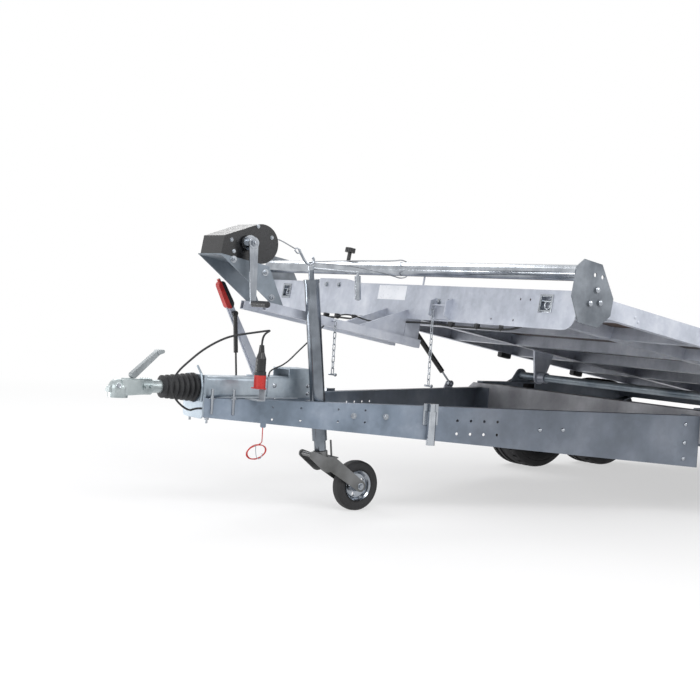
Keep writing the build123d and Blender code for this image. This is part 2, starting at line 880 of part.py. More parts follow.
def make_brake_lever():
    """Handbrake lever: a tapering bar with a flanged lower half."""
    half = brake_bar_wall / 2
    end = brake_length - brake_grip_length / 2
    lever = strap(
        brake_point(0), brake_point(end), brake_bar_width / 2, brake_bar_width / 3, brake_y - half, brake_y + half
    )
    lever += strap(
        brake_point(30), brake_point(end - 60), brake_bar_width / 3, brake_bar_width / 4, brake_y - 12, brake_y + 12
    )
    lever -= bar(
        (brake_pivot_x, brake_y - 60, brake_pivot_z), (brake_pivot_x, brake_y + 60, brake_pivot_z), 9
    )
    return lever


def make_brake_grip(lever):
    """Moulded handbrake grip with its release button."""
    start = brake_length - brake_grip_length
    grip = strap(brake_point(start + 18), brake_point(brake_length - 16), 19, 16, brake_y - 14, brake_y + 14)
    grip += bar(
        (brake_point(brake_length - 20)[0], brake_y, brake_point(brake_length - 20)[1]),
        (brake_point(brake_length + 12)[0], brake_y, brake_point(brake_length + 12)[1]),
        7,
    )
    return grip - lever


def make_gas_strut():
    """Strut from the bracket's lug up to the lever."""
    head_x, head_z = brake_point(brake_length - brake_grip_length - 25)
    foot = Vector(strut_foot_x, strut_y, strut_foot_z)
    head = Vector(head_x, strut_y, head_z)
    way = (head - foot).normalized()
    strut = bar(tuple(foot + way * 10), tuple(foot + way * 110), strut_rod_radius)
    strut += bar(tuple(foot + way * 105), tuple(head - way * 8), strut_radius)
    for end in (foot, head):
        eye = bar((end.X, strut_y - 6, end.Z), (end.X, strut_y + 6, end.Z), 11)
        strut += eye
    strut -= bar((foot.X, strut_y - 7, foot.Z), (foot.X, strut_y + 7, foot.Z), 4)
    face = brake_y + brake_bar_wall / 2
    strut += bar((head.X, 12 + brake_y, head.Z), (head.X, strut_y, head.Z), 5)
    return strut


def make_parking_socket():
    """Bracket on the left leg with the round socket that holds the unused plug."""
    along = leg_along(socket_x)
    flange_y = leg_point(along, leg_flange, 0)[1]
    shelf = block(
        (socket_x - 17, socket_x + 17), (flange_y, socket_y + socket_radius - 4), (leg_top_z, leg_top_z + 4)
    )
    post = block((socket_x - 17, socket_x - 13), (socket_y - socket_radius, socket_y + socket_radius - 4), (leg_top_z, socket_base_z))
    top = block(
        (socket_x - 17, socket_x + socket_radius),
        (socket_y - socket_radius, socket_y + socket_radius),
        (socket_base_z, socket_base_z + 4),
    )
    cup = bar((socket_x, socket_y, socket_base_z), (socket_x, socket_y, socket_base_z + socket_height), socket_radius)
    return shelf + post + top + cup


def make_plug():
    """Round lead plug standing in the socket, with its tapering boot."""
    base = socket_base_z + socket_height
    height = plug_top_z - base
    outline = [
        (0, base),
        (plug_radius + 3, base),
        (plug_radius + 3, base + 14),
        (plug_radius, base + 16),
        (plug_radius, base + height * 0.55),
        (plug_radius * 0.6, base + height * 0.75),
        (plug_radius * 0.45, base + height),
        (0, base + height),
    ]
    face = make_face(Polyline([(r, 0, z) for r, z in outline], close=True))
    return Pos(socket_x, socket_y, 0) * revolve(face, axis=Axis.Z)


def make_jockey_tube():
    """Outer tube of the jockey wheel, with its bush, top cap and spindle head."""
    length = jockey_tube_length
    tube = pipe((0, 0, 0), (0, 0, length), jockey_tube_radius, jockey_tube_wall)
    bush_wall = jockey_tube_radius - jockey_inner_radius - bearing_gap
    tube += pipe((0, 0, 0), (0, 0, jockey_bush_length), jockey_tube_radius, bush_wall)
    tube += bar((0, 0, length - 6), (0, 0, length + 8), jockey_tube_radius + 2)
    tube += bar((0, 0, length), (0, 0, length + 45), 11)
    return jockey_place * tube


def make_jockey_crank():
    """Bent crank on top of the jockey wheel, its grip hanging down."""
    top = jockey_tube_length + 45
    hub = bar((0, 0, top), (0, 0, top + 16), 14)
    end = (-170, 78, top - 20)
    arm = bar((0, 0, top + 8), end, 6)
    arm += Pos(*end) * Sphere(6)
    arm += bar(end, (end[0] + 5, end[1], end[2] - 112), 6)
    grip = bar((end[0] + 1, end[1], end[2] - 14), (end[0] + 5, end[1], end[2] - 108), 12.5)
    return jockey_place * (hub + arm + grip)


def make_jockey_clamp():
    """Clamp ring round the jockey tube with the plate that joins it to the left leg."""
    middle_z = leg_top_z - 48
    rise = (middle_z - jockey_z) / math.cos(math.radians(jockey_lean))
    ring = bar((0, 0, rise - clamp_height / 2), (0, 0, rise + clamp_height / 2), jockey_tube_radius + clamp_wall)
    ring = jockey_place * ring
    axis_x = jockey_x + rise * math.sin(math.radians(jockey_lean))
    from_front = leg_front_x - axis_x
    across = jockey_y - leg_front_y
    along = from_front * leg_cos + across * leg_sin
    inward = from_front * leg_sin - across * leg_cos
    plate = block((along - 34, along + 34), (leg_wall, inward), (middle_z - 36, middle_z + 36))
    clamp = ring + leg_place * plate
    screw_y = jockey_y - jockey_tube_radius - clamp_wall
    clamp += bar((axis_x, screw_y + 2, middle_z), (axis_x, screw_y - 40, middle_z), 7)
    bore = bar((0, 0, 0), (0, 0, 2 * rise), jockey_tube_radius)
    return clamp - jockey_place * bore


def make_jockey_inner_tube():
    """Inner tube that slides in the jockey tube, closed at its foot by the swivel pin."""
    tube = pipe((0, 0, fork_head_top + 3), (0, 0, jockey_inner_top), jockey_inner_radius, jockey_inner_wall)
    tube += bar((0, 0, fork_head_top + 3), (0, 0, fork_head_top + 12), jockey_inner_radius - 1)
    pin_foot = fork_head_top - fork_head_height
    tube += bar((0, 0, pin_foot - 4), (0, 0, fork_head_top + 5), 10)
    return jockey_place * tube


def make_jockey_fork():
    """Trailing fork with its swivel head, cheeks and axle."""
    head_foot = fork_head_top - fork_head_height
    inner = jockey_wheel_width / 2 + fork_side_gap
    outer = inner + fork_wall
    head = bar((0, 0, head_foot), (0, 0, fork_head_top), fork_head_radius)
    bridge = block((fork_pin_x - 7, fork_head_radius), (-outer, outer), (head_foot - fork_wall, head_foot))
    fork = head + bridge
    boss = (fork_boss_x, fork_boss_z)
    knee = (-8, fork_knee_z)
    shoulder = (fork_pin_x + fork_knee_radius - 8, fork_knee_z)
    axle = (-jockey_trail, -jockey_reach)
    for low in (-outer, inner):
        fork += strap(boss, knee, fork_boss_radius, fork_knee_radius, low, low + fork_wall)
        fork += strap(knee, shoulder, fork_knee_radius, fork_knee_radius - 1, low, low + fork_wall)
        fork += strap(shoulder, axle, fork_knee_radius - 1, jockey_hub_radius, low, low + fork_wall)
    fork += bar((boss[0], -outer, boss[1]), (boss[0], outer, boss[1]), fork_boss_radius - 6)
    pin_foot = head_foot - fork_wall
    fork += bar((fork_pin_x, 0, pin_foot), (fork_pin_x, 0, pin_foot + fork_pin_height), fork_pin_radius)
    fork += bar((axle[0], -outer - 8, axle[1]), (axle[0], outer + 8, axle[1]), jockey_axle_radius)
    fork -= bar((0, 0, head_foot - 60), (0, 0, fork_head_top + 1), 10 + bearing_gap)
    return jockey_place * fork


def jockey_wheel_place():
    """Where the jockey wheel goes."""
    return jockey_place * Pos(-jockey_trail, 0, -jockey_reach) * Rot(0, -jockey_lean, 0)


def make_jockey_rim():
    """Small pressed rim with spokes' dimples, about the Y axis."""
    half = jockey_wheel_width / 2
    outline = [
        (-half + 6, jockey_rim_radius),
        (-half + 12, jockey_rim_radius - 6),
        (-6, jockey_rim_radius - 14),
        (-4, 26),
        (-half, 20),
        (-half, jockey_axle_radius + bearing_gap),
    ]
    mirrored = [(-w, r) for w, r in outline[::-1]]
    rim = turned(outline + mirrored)
    for i in range(5):
        turn = Rot(0, 72 * i, 0)
        middle = jockey_rim_radius - 25
        rim -= turn * bar((middle, -half, 0), (middle, half, 0), 8)
    return rim


def make_jockey_tyre():
    """Solid rubber tyre of the jockey wheel, about the Y axis."""
    half = jockey_wheel_width / 2
    radius = jockey_wheel_radius
    inner = jockey_rim_radius + seat_gap
    side = [
        (half - 10, inner),
        (half - 4, inner + 6),
        (half, inner + 14),
        (half - 3, radius - 10),
        (half - 12, radius - 2),
    ]
    other = [(-w, r) for w, r in side[::-1]]
    return turned(side + [(0, radius)] + other)


def make_side_rail():
    """Left side rail of the bed: a channel open inward."""
    outline = folded(
        [
            (bed_half_width - side_rail_flange, side_rail_bottom_z),
            (bed_half_width, side_rail_bottom_z),
            (bed_half_width, bed_top_z),
            (bed_half_width - side_rail_flange, bed_top_z),
        ],
        side_rail_wall,
    )
    return cross_plate(outline, bed_rear_x + panel_wall, rail_start_x)


def make_subframe():
    """Welded bed frame: longitudinals, cross-members, tilt ears and the damper's pin."""
    low_z = side_rail_bottom_z + side_rail_wall
    high_z = floor_bottom_z
    front_x = rail_start_x
    rear_x = bed_rear_x + panel_wall
    beam = cross_plate(
        folded(
            [
                (longitudinal_y - longitudinal_width, low_z),
                (longitudinal_y, low_z),
                (longitudinal_y, high_z),
                (longitudinal_y - longitudinal_width, high_z),
            ],
            member_wall,
        ),
        rear_x,
        front_x,
    )
    frame = both_sides(beam)
    half = bed_half_width - side_rail_wall
    for i in range(member_count):
        x = bed_front_x - member_first - i * member_pitch
        outline = folded(
            [(x - member_width, high_z), (x, high_z), (x, low_z), (x - member_width, low_z)], -member_wall
        )
        frame += side_plate(outline, -half, half)
    ear = side_plate(
        [
            (pivot_x - 2.4 * ear_radius, high_z),
            (pivot_x + 2.4 * ear_radius, high_z),
            (pivot_x + ear_radius, pivot_z),
            (pivot_x - ear_radius, pivot_z),
        ],
        longitudinal_y,
        longitudinal_y + ear_wall,
    )
    ear += bar((pivot_x, longitudinal_y, pivot_z), (pivot_x, longitudinal_y + ear_wall, pivot_z), ear_radius)
    sleeve_y = (longitudinal_y - longitudinal_width, longitudinal_y + ear_wall + 10)
    ear += bar((pivot_x, sleeve_y[0], pivot_z), (pivot_x, sleeve_y[1], pivot_z), shaft_radius + 8)
    frame += both_sides(ear)
    frame -= bar((pivot_x, -half, pivot_z), (pivot_x, half, pivot_z), shaft_radius + shaft_gap)
    pin_in = -longitudinal_y
    pin_out = damper_y - damper_eye_width / 2 - 4
    frame += bar((damper_head_x, pin_in, damper_head_z), (damper_head_x, pin_out, damper_head_z), damper_pin_radius)
    return frame


def make_panel():
    """Front panel of the bed: a pressed plate with rounded lower corners and square recesses."""
    half = bed_half_width - side_rail_wall
    low = bed_top_z - panel_depth
    plate = block((bed_front_x - panel_wall, bed_front_x), (-half, half), (low, bed_top_z))
    corners = plate.edges().filter_by(Axis.X).sort_by(Axis.Z)[:2]
    plate = fillet(corners, panel_corner)
    inner = half - side_rail_flange - 1
    plate += block((bed_front_x - panel_flange, bed_front_x), (-inner, inner), (floor_top_z, bed_top_z))
    size = lash_size / 2
    hole = block((bed_front_x - 10, bed_front_x + 1), (lash_y - size, lash_y + size), (lash_z - size, lash_z + size))
    plate -= both_sides(hole)
    saddle = [(y, bed_top_z + rise) for y, rise in panel_saddle]
    plate += cross_plate(saddle, bed_front_x - panel_wall, bed_front_x)
    for y, height in panel_holes:
        plate -= bar((bed_front_x - 10, y, low + height), (bed_front_x + 1, y, low + height), panel_hole_radius)
    post_x = bed_front_x - panel_wall - panel_post_radius
    nearest = abs(stop_tube_x - post_x) - panel_post_radius
    post_top = stop_tube_z - math.sqrt(stop_tube_radius**2 - nearest**2) - seat_gap
    plate += bar((post_x, panel_post_y, bed_top_z - 1), (post_x, panel_post_y, post_top), panel_post_radius)
    return plate + make_chain_bracket(low)


def make_chain_bracket(low):
    """Upright channel on the panel's face, with the cross pin that the rear chain hangs from."""
    near = chain_bracket_y - chain_bracket_width / 2
    far = chain_bracket_y + chain_bracket_width / 2
    foot = low + chain_bracket_low
    top = foot + chain_bracket_height
    front = bed_front_x + chain_bracket_reach
    wall = chain_bracket_wall
    bracket = block((bed_front_x, bed_front_x + wall), (near, far), (foot, top))
    for y in (near, far - wall):
        ear = side_plate(
            [(bed_front_x, foot), (front, foot + 12), (front, top - 16), (bed_front_x + wall, top)], y, y + wall
        )
        bracket += ear
    pin_x = chain_bracket_pin_x
    pin_z = chain_bracket_pin_z
    bracket += bar((pin_x, near, pin_z), (pin_x, far, pin_z), chain_hook_radius)
    return bracket


def make_rear_beam():
    """Rear beam of the bed with its upper and lower lips."""
    half = bed_half_width - side_rail_wall
    outline = folded(
        [
            (bed_rear_x + rear_beam_flange, bed_top_z),
            (bed_rear_x, bed_top_z),
            (bed_rear_x, bed_top_z - rear_beam_depth),
            (bed_rear_x + rear_beam_flange, bed_top_z - rear_beam_depth),
        ],
        side_rail_wall,
    )
    inner = half - side_rail_flange - 1
    beam = side_plate(outline, -inner, inner)
    beam += block(
        (bed_rear_x, bed_rear_x + panel_wall), (-half, half), (bed_top_z - rear_beam_depth, bed_top_z)
    )
    return beam


def make_lamps():
    """Two rear lamps on the beam's face."""
    half = bed_half_width - side_rail_wall - lamp_inset
    middle = bed_top_z - rear_beam_depth / 2
    lamp = block(
        (bed_rear_x - lamp_thickness, bed_rear_x),
        (half - lamp_width, half),
        (middle - lamp_height / 2, middle + lamp_height / 2),
    )
    lamp = chamfer(lamp.faces().sort_by(Axis.X)[0].edges(), 5)
    return both_sides(lamp)


def make_floor():
    """Plywood floor on the cross-members, framed by the flanges of the rails, panel and rear beam."""
    half = bed_half_width - side_rail_flange - floor_gap
    ends = (bed_rear_x + rear_beam_flange + floor_gap, bed_front_x - panel_flange - floor_gap)
    return block(ends, (-half, half), (floor_bottom_z, floor_top_z))


def make_stop_tube():
    """Tube across the front of the bed that vehicles' wheels stop against."""
    end = bed_half_width
    place = (stop_tube_x, stop_tube_z)
    return pipe((place[0], -end, place[1]), (place[0], end, place[1]), stop_tube_radius, stop_tube_wall)


def make_end_plates():
    """Plates at the ends of the tube, bolted to the side rails."""
    cut = end_plate_chamfer
    outline = [
        (end_plate_front_x, stop_tube_z - 90),
        (end_plate_front_x, stop_tube_z + 20),
        (end_plate_front_x - cut * 0.6, end_plate_top_z),
        (end_plate_rear_x + cut * 1.6, end_plate_top_z),
        (end_plate_rear_x, end_plate_top_z - 2 * cut),
        (end_plate_rear_x, end_plate_bottom_z + cut),
        (end_plate_rear_x + cut, end_plate_bottom_z),
        (end_plate_front_x - cut, end_plate_bottom_z),
    ]
    plate = side_plate(outline, bed_half_width, bed_half_width + end_plate_wall)
    for x in (end_plate_rear_x + 75, end_plate_rear_x + 115):
        plate -= bar((x, bed_half_width - 1, end_plate_top_z - 45), (x, bed_half_width + 9, end_plate_top_z - 45), 8)
    face = bed_half_width + end_plate_wall
    bolt_z = bed_top_z - side_rail_depth / 2
    for behind, above in end_plate_bolts:
        x = bed_front_x - behind
        z = bolt_z + above
        plate += bar((x, face - 1, z), (x, face + 7, z), 9)
    return both_sides(plate)


def make_knob():
    """Star knob that locks the tube, on its threaded stem."""
    foot = stop_tube_z + stop_tube_radius
    knob = bar((stop_tube_x, knob_y, foot + 42), (stop_tube_x, knob_y, foot + 62), knob_radius - 4)
    for i in range(6):
        angle = math.radians(60 * i)
        x = stop_tube_x + (knob_radius - 7) * math.cos(angle)
        y = knob_y + (knob_radius - 7) * math.sin(angle)
        knob += bar((x, y, foot + 42), (x, y, foot + 62), 7)
    knob += bar((stop_tube_x, knob_y, foot), (stop_tube_x, knob_y, foot + 43), 9)
    return knob


def make_lashing_points():
    """Square cups behind the panel, each with its lashing ring."""
    face = bed_front_x
    size = lash_size / 2
    wall = lash_wall
    cup = block(
        (face - panel_wall - lash_depth, face),
        (lash_y - size, lash_y + size),
        (lash_z - size, lash_z + size),
    )
    cup -= block(
        (face - panel_wall - lash_depth + wall, face + 1),
        (lash_y - size + wall, lash_y + size - wall),
        (lash_z - size + wall, lash_z + size - wall),
    )
    middle_x = face - 10
    ring = Pos(middle_x, lash_y, lash_z - 5) * Rot(0, 90, 0) * Torus(15, 4)
    pin = bar((middle_x, lash_y - size + 1, lash_z + 10), (middle_x, lash_y + size - 1, lash_z + 10), 5)
    boss = bar((face - panel_wall - lash_depth + 1, lash_y, lash_z + 2), (middle_x, lash_y, lash_z + 10), 6)
    return both_sides(cup + ring + pin + boss)


def make_nose_fork():
    """Two hollow rails under the panel that reach forward and carry the winch."""
    outer = fork_inner_y + fork_rail_width
    rail = block((fork_rear_x, fork_front_x), (fork_inner_y, outer), (fork_bottom_z, fork_top_z))
    rail -= block(
        (fork_rear_x - 1, fork_front_x + 1),
        (fork_inner_y + fork_rail_wall, outer - fork_rail_wall),
        (fork_bottom_z + fork_rail_wall, fork_top_z - fork_rail_wall),
    )
    behind = bed_front_x - panel_wall
    cheek = [
        (behind, fork_top_z),
        (behind, side_rail_bottom_z + side_rail_wall),
        (behind, floor_bottom_z),
        (behind - 75, floor_bottom_z),
        (fork_rear_x, fork_top_z),
    ]
    plate = side_plate(cheek, fork_inner_y, fork_inner_y + 2 * fork_rail_wall)
    gusset = side_plate(
        [(behind + panel_wall, fork_top_z), (behind + panel_wall, bed_top_z - panel_depth + 40), (fork_gusset_x, fork_top_z)],
        fork_inner_y,
        fork_inner_y + 2 * fork_rail_wall,
    )
    eye = bar((chain_eye_x, outer - 1, chain_eye_z), (chain_eye_x, chain_eye_end_y, chain_eye_z), chain_hook_radius)
    return both_sides(rail + plate + gusset) + eye


def make_winch_bracket():
    """Folded bracket that carries the winch ahead of the nose fork."""
    cheek = [
        (winch_front_x, bracket_base_z - winch_bracket_wall),
        (winch_x - 50, bracket_base_z - winch_bracket_wall),
        (240, fork_top_z),
        (300, fork_top_z),
    ]
    half = winch_bracket_half_width
    bracket = both_sides(side_plate(cheek, half - winch_bracket_wall, half))
    bracket += block(
        (winch_x - 50, winch_front_x + 4), (-half, half), (bracket_base_z - winch_bracket_wall, bracket_base_z)
    )
    return bracket


def winch_outline(inset):
    """Side outline of the winch cover: a round drum end drawn out to a blunt nose."""
    radius = winch_radius - inset
    nose_x = winch_front_x - inset
    nose_z = winch_front_top_z - inset
    away = math.dist((winch_x, winch_z), (nose_x, nose_z))
    angle = math.atan2(nose_z - winch_z, nose_x - winch_x) + math.acos(radius / away)
    touch = (winch_x + radius * math.cos(angle), winch_z + radius * math.sin(angle))
    return [touch, (nose_x, nose_z), (nose_x, winch_z - radius), (winch_x, winch_z - radius)]


def winch_form(inset):
    """Solid of the winch cover's outline, drawn in by an inset."""
    half = winch_half_width - inset
    form = side_plate(winch_outline(inset) + [(winch_x, winch_z)], -half, half)
    return form + bar((winch_x, -half, winch_z), (winch_x, half, winch_z), winch_radius - inset)


def make_winch_cover():
    """Thin moulded cover over the winch drum, open below its nose and where the rope leaves."""
    cover = winch_form(0) - winch_form(winch_wall)
    mouth = block(
        (winch_x - winch_radius - 1, winch_x - winch_radius + 20),
        (-winch_half_width + 20, winch_half_width - 20),
        (winch_z + 10, winch_z + 50),
    )
    return cover - mouth


def make_winch_crank():
    """Winch hub and its flat crank arm."""
    y = winch_half_width
    end_y = y + crank_hub_length
    crank = bar((crank_hub_x, y, crank_hub_z), (crank_hub_x, end_y, crank_hub_z), crank_hub_radius * 0.6)
    crank += bar((crank_hub_x, y + 10, crank_hub_z), (crank_hub_x, y + 24, crank_hub_z), crank_hub_radius)
    crank += strap(
        (crank_hub_x, crank_hub_z),
        (crank_end_x, crank_end_z),
        crank_width,
        crank_width / 2 + 2,
        end_y,
        end_y + crank_wall,
    )
    return crank


def make_crank_grip():
    """Grip that stands out of the crank's end."""
    start = winch_half_width + crank_hub_length + crank_wall
    end = start + crank_grip_length
    grip = bar((crank_end_x, start, crank_end_z), (crank_end_x, end, crank_end_z), crank_grip_radius)
    return chamfer(grip.faces().sort_by(Axis.Y)[-1].edges(), 3)


def make_buffers():
    """Rubber buffers under the side rails."""
    low = side_rail_bottom_z - buffer_height
    outer = bed_half_width - 4
    shapes = []
    for x in (buffer_front_x, buffer_rear_x):
        pad = block(
            (x - buffer_length / 2, x + buffer_length / 2), (outer - buffer_width, outer), (low, side_rail_bottom_z)
        )
        pad = chamfer(pad.faces().sort_by(Axis.Z)[0].edges(), 5)
        shapes.append(both_sides(pad))
    return shapes[0] + shapes[1]


def make_locks():
    """Bed locks: a sleeve and bolt bracketed to the outside of each leg."""
    x, y, _ = leg_point(lock_along, -lock_radius - 2, 0)
    sleeve = bar((x, y, lock_bottom_z), (x, y, lock_top_z - 30), lock_radius)
    sleeve += bar((x, y, lock_top_z - 30), (x, y, lock_top_z), lock_radius * 0.7)
    plate = block((lock_along - 32, lock_along + 32), (-5, 0), (leg_top_z - 75, lock_top_z))
    plate += block((lock_along - 8, lock_along + 8), (-20, 0), (leg_bottom(lock_along) + 10, leg_top_z))
    return both_sides(sleeve + leg_place * plate)


def turn_with_bed(x, z, angle):
    """X and Z of a bed point after the level bed turns by an angle, nose up."""
    turn = math.radians(angle)
    dx, dz = x - pivot_x, z - pivot_z
    return (
        pivot_x + dx * math.cos(turn) - dz * math.sin(turn),
        pivot_z + dx * math.sin(turn) + dz * math.cos(turn),
    )


damper_rest_x, damper_rest_z = turn_with_bed(damper_head_x, damper_head_z, bed_tilt)
damper_rest_length = math.dist((damper_rest_x, damper_rest_z), (damper_foot_x, damper_foot_z))
damper_elevation = math.degrees(math.atan2(damper_rest_z - damper_foot_z, damper_rest_x - damper_foot_x))
damper_place = Pos(damper_rest_x, damper_y, damper_rest_z) * Rot(0, 90 - damper_elevation, 0)


def make_damper_tube():
    """Damper body, hinged to the bed; it hangs along local -Z from its eye."""
    end = damper_rest_length - damper_rod_shown
    tube = bar((0, 0, -damper_eye_radius + 2), (0, 0, -end), damper_tube_radius)
    half = damper_eye_width / 2
    tube += bar((0, -half, 0), (0, half, 0), damper_eye_radius)
    tube -= bar((0, -half - 1, 0), (0, half + 1, 0), damper_pin_radius + bearing_gap)
    tube -= bar((0, 0, -end - 1), (0, 0, -damper_eye_radius - 30), damper_rod_radius + bearing_gap)
    return damper_place * tube


def make_damper_rod():
    """Damper rod, which slides in the body; its eye hangs round the drawbar's pin."""
    start = damper_rest_length - damper_rod_shown - 60
    foot = damper_rest_length
    half = damper_eye_width / 2
    rod = bar((0, 0, -start), (0, 0, -foot + damper_eye_radius - 2), damper_rod_radius)
    rod += bar((0, -half, -foot), (0, half, -foot), damper_eye_radius)
    rod -= bar((0, -half - 1, -foot), (0, half + 1, -foot), damper_pin_radius + damper_eye_play)
    return damper_place * rod


def make_damper_bracket():
    """Lug on the right leg's upper flange with the damper's foot pin."""
    outer = damper_y - damper_eye_width / 2 - 4
    lug = side_plate(
        [
            (damper_foot_x - 30, leg_top_z),
            (damper_foot_x + 30, leg_top_z),
            (damper_foot_x + 12, damper_foot_z + 12),
            (damper_foot_x - 12, damper_foot_z + 12),
        ],
        outer - 6,
        outer,
    )
    end = damper_y + damper_eye_width / 2 + 3
    lug += bar((damper_foot_x, outer - 1, damper_foot_z), (damper_foot_x, end, damper_foot_z), damper_pin_radius)
    return lug


def arc_radii(route):
    """Radius of the arc at each inner corner of a cord's route."""
    points = [Vector(*point) for point in route]
    radii = []
    for before, corner, after in zip(points, points[1:], points[2:]):
        turn = math.radians((corner - before).get_angle(after - corner))
        shorter = min((corner - before).length, (after - corner).length)
        radii.append(0.45 * shorter / math.tan(turn / 2))
    return radii


def make_cord(name, route, radius):
    """Round cord along straight runs joined by arcs; prints its length and its tightest arc."""
    radii = arc_radii(route)
    path = FilletPolyline(*route, radius=radii)
    start = Plane(origin=route[0], z_dir=Vector(*route[1]) - Vector(*route[0]))
    cord = sweep(start * Circle(radius), path=path)
    print(name, "length", round(path.length, 1), "tightest arc", round(min(radii), 1))
    print(name, "volume against section times length", round(cord.volume / (math.pi * radius**2 * path.length), 4))
    return cord


def make_breakaway_cable():
    """Straight part of the breakaway cable, from the leg's tab down to its coil."""
    x, y, _ = leg_point(leg_along(breakaway_tab_x), breakaway_tab_wall / 2, 0)
    return bar((x, y, breakaway_tab_z), (x, y, breakaway_tab_z - breakaway_drop), breakaway_radius)


def make_breakaway_coil():
    """Outer form of the hanging coil."""
    x, y, _ = leg_point(leg_along(breakaway_tab_x), breakaway_tab_wall / 2, 0)
    half = coil_section / 2
    ring = Ellipse(coil_width / 2, coil_height / 2)
    ring -= Ellipse(coil_width / 2 - coil_section, coil_height / 2 - coil_section)
    coil = extrude(ring, amount=half, both=True)
    place = Pos(x, y, breakaway_tab_z - breakaway_drop) * Rot(0, 0, 180 - coil_turn) * Rot(90, 0, 0)
    lean = math.radians(coil_lean)
    top = math.hypot(coil_width / 2 * math.sin(lean), coil_height / 2 * math.cos(lean))
    return place * Pos(-coil_shift, -top, 0) * Rot(0, 0, coil_lean) * coil


def make_link(middle, turn):
    """One chain link about its middle, long in Z; turned about Z by an angle."""
    half_length = chain_pitch / 2 + chain_wire - link_overlap
    outer = SlotOverall(2 * half_length, chain_width)
    inner = SlotOverall(2 * half_length - 2 * chain_wire, chain_width - 2 * chain_wire)
    link = extrude(outer - inner, amount=chain_wire / 2, both=True)
    return Pos(*middle) * Rot(0, 0, turn) * Rot(90, 0, 0) * Rot(0, 0, 90) * link


def make_chain(hook, y, links):
    """Chain that hangs straight down from a pin of the bed, with the locking pin at its end."""
    x, z = hook
    top_z = z + chain_hook_radius + chain_play + link_overlap
    half = chain_pin_length / 2
    foot = top_z - links * chain_pitch - chain_wire / 2
    chain = bar((x, y - half, foot), (x, y + half, foot), chain_pin_radius)
    for i in range(links):
        chain += make_link((x, y, top_z - (i + 0.5) * chain_pitch), 90 * (i % 2))
    return chain


rim = make_rim()
tyre = make_tyre()
leg = make_leg()
rail = make_rail()
side_rail = make_side_rail()
brake_lever = make_brake_lever()
half_shaft = rail_outer_y - ear_wall

nodes = {
    "drawbar_leg_left": leg + make_breakaway_tab(),
    "drawbar_leg_right": right_side(leg),
    "main_rail_left": rail,
    "main_rail_right": right_side(rail),
    "front_cross_member": make_front_cross_member(),
    "rear_cross_member": make_rear_cross_member(),
    "tilt_shaft": bar((pivot_x, -half_shaft, pivot_z), (pivot_x, half_shaft, pivot_z), shaft_radius),
    "torsion_axle_front": make_axle(wheel_front_x),
    "torsion_axle_rear": make_axle(wheel_rear_x),
    "overrun_housing": make_housing() + make_nose_plate(),
    "coupling_head": make_coupling(),
    "coupling_lever": make_coupling_lever(),
    "bellows": make_bellows(),
    "handbrake_bracket": make_brake_bracket(),
    "handbrake_lever": brake_lever,
    "handbrake_grip": make_brake_grip(brake_lever),
    "gas_strut": make_gas_strut(),
    "parking_socket": make_parking_socket(),
    "lead_plug": make_plug(),
    "plug_lead": make_cord("plug_lead", lead_route, lead_radius),
    "bed_cable": make_cord("bed_cable", bed_cable_route, bed_cable_radius),
    "breakaway_cable": make_breakaway_cable(),
    "breakaway_coil": make_breakaway_coil(),
    "jockey_clamp": make_jockey_clamp(),
    "jockey_tube": make_jockey_tube(),
    "jockey_crank": make_jockey_crank(),
    "bed_locks": make_locks(),
    "damper_bracket": make_damper_bracket(),
    "jockey_inner_tube": make_jockey_inner_tube(),
    "jockey_fork": make_jockey_fork(),
    "jockey_rim": jockey_wheel_place() * make_jockey_rim(),
    "jockey_tyre": jockey_wheel_place() * make_jockey_tyre(),
    "side_rail_left": tilted(side_rail),
    "side_rail_right": tilted(right_side(side_rail)),
    "bed_subframe": tilted(make_subframe()),
    "front_panel": tilted(make_panel()),
    "rear_beam": tilted(make_rear_beam()),
    "tail_lamps": tilted(make_lamps()),
    "bed_floor": tilted(make_floor()),
    "wheel_stop_tube": tilted(make_stop_tube()),
    "tube_end_plates": tilted(make_end_plates()),
    "tube_knob": tilted(make_knob()),
    "lashing_points": tilted(make_lashing_points()),
    "nose_fork": tilted(make_nose_fork()),
    "winch_bracket": tilted(make_winch_bracket()),
    "winch_cover": tilted(make_winch_cover()),
    "winch_crank": tilted(make_winch_crank()),
    "winch_crank_grip": tilted(make_crank_grip()),
    "bed_buffers": tilted(make_buffers()),
    "lock_chains": make_chain(raised(chain_eye_x, chain_eye_z), front_chain_y, front_chain_links)
    + make_chain(raised(chain_bracket_pin_x, chain_bracket_pin_z), rear_chain_y, rear_chain_links),
    "damper_tube": make_damper_tube(),
    "damper_rod": make_damper_rod(),
}
for row, x in (("front", wheel_front_x), ("rear", wheel_rear_x)):
    nodes[f"{row}_rim_left"] = road_wheel_place(x) * rim
    nodes[f"{row}_tyre_left"] = road_wheel_place(x) * tyre
    nodes[f"{row}_rim_right"] = right_side(road_wheel_place(x) * rim)
    nodes[f"{row}_tyre_right"] = right_side(road_wheel_place(x) * tyre)

# Centre the whole on X = 0 and write one file for each piece.
boxes = [shape.bounding_box() for shape in nodes.values()]
centre_x = (min(box.min.X for box in boxes) + max(box.max.X for box in boxes)) / 2
os.makedirs("parts", exist_ok=True)
for name, shape in nodes.items():
    export_step(Pos(-centre_x, 0, 0) * shape, f"parts/{name}.step")
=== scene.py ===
"""Flatbed trailer with its tilting bed raised: finishes, small pieces, lights and camera."""
import json
import math

import bmesh
import bpy
from mathutils import Matrix, Vector


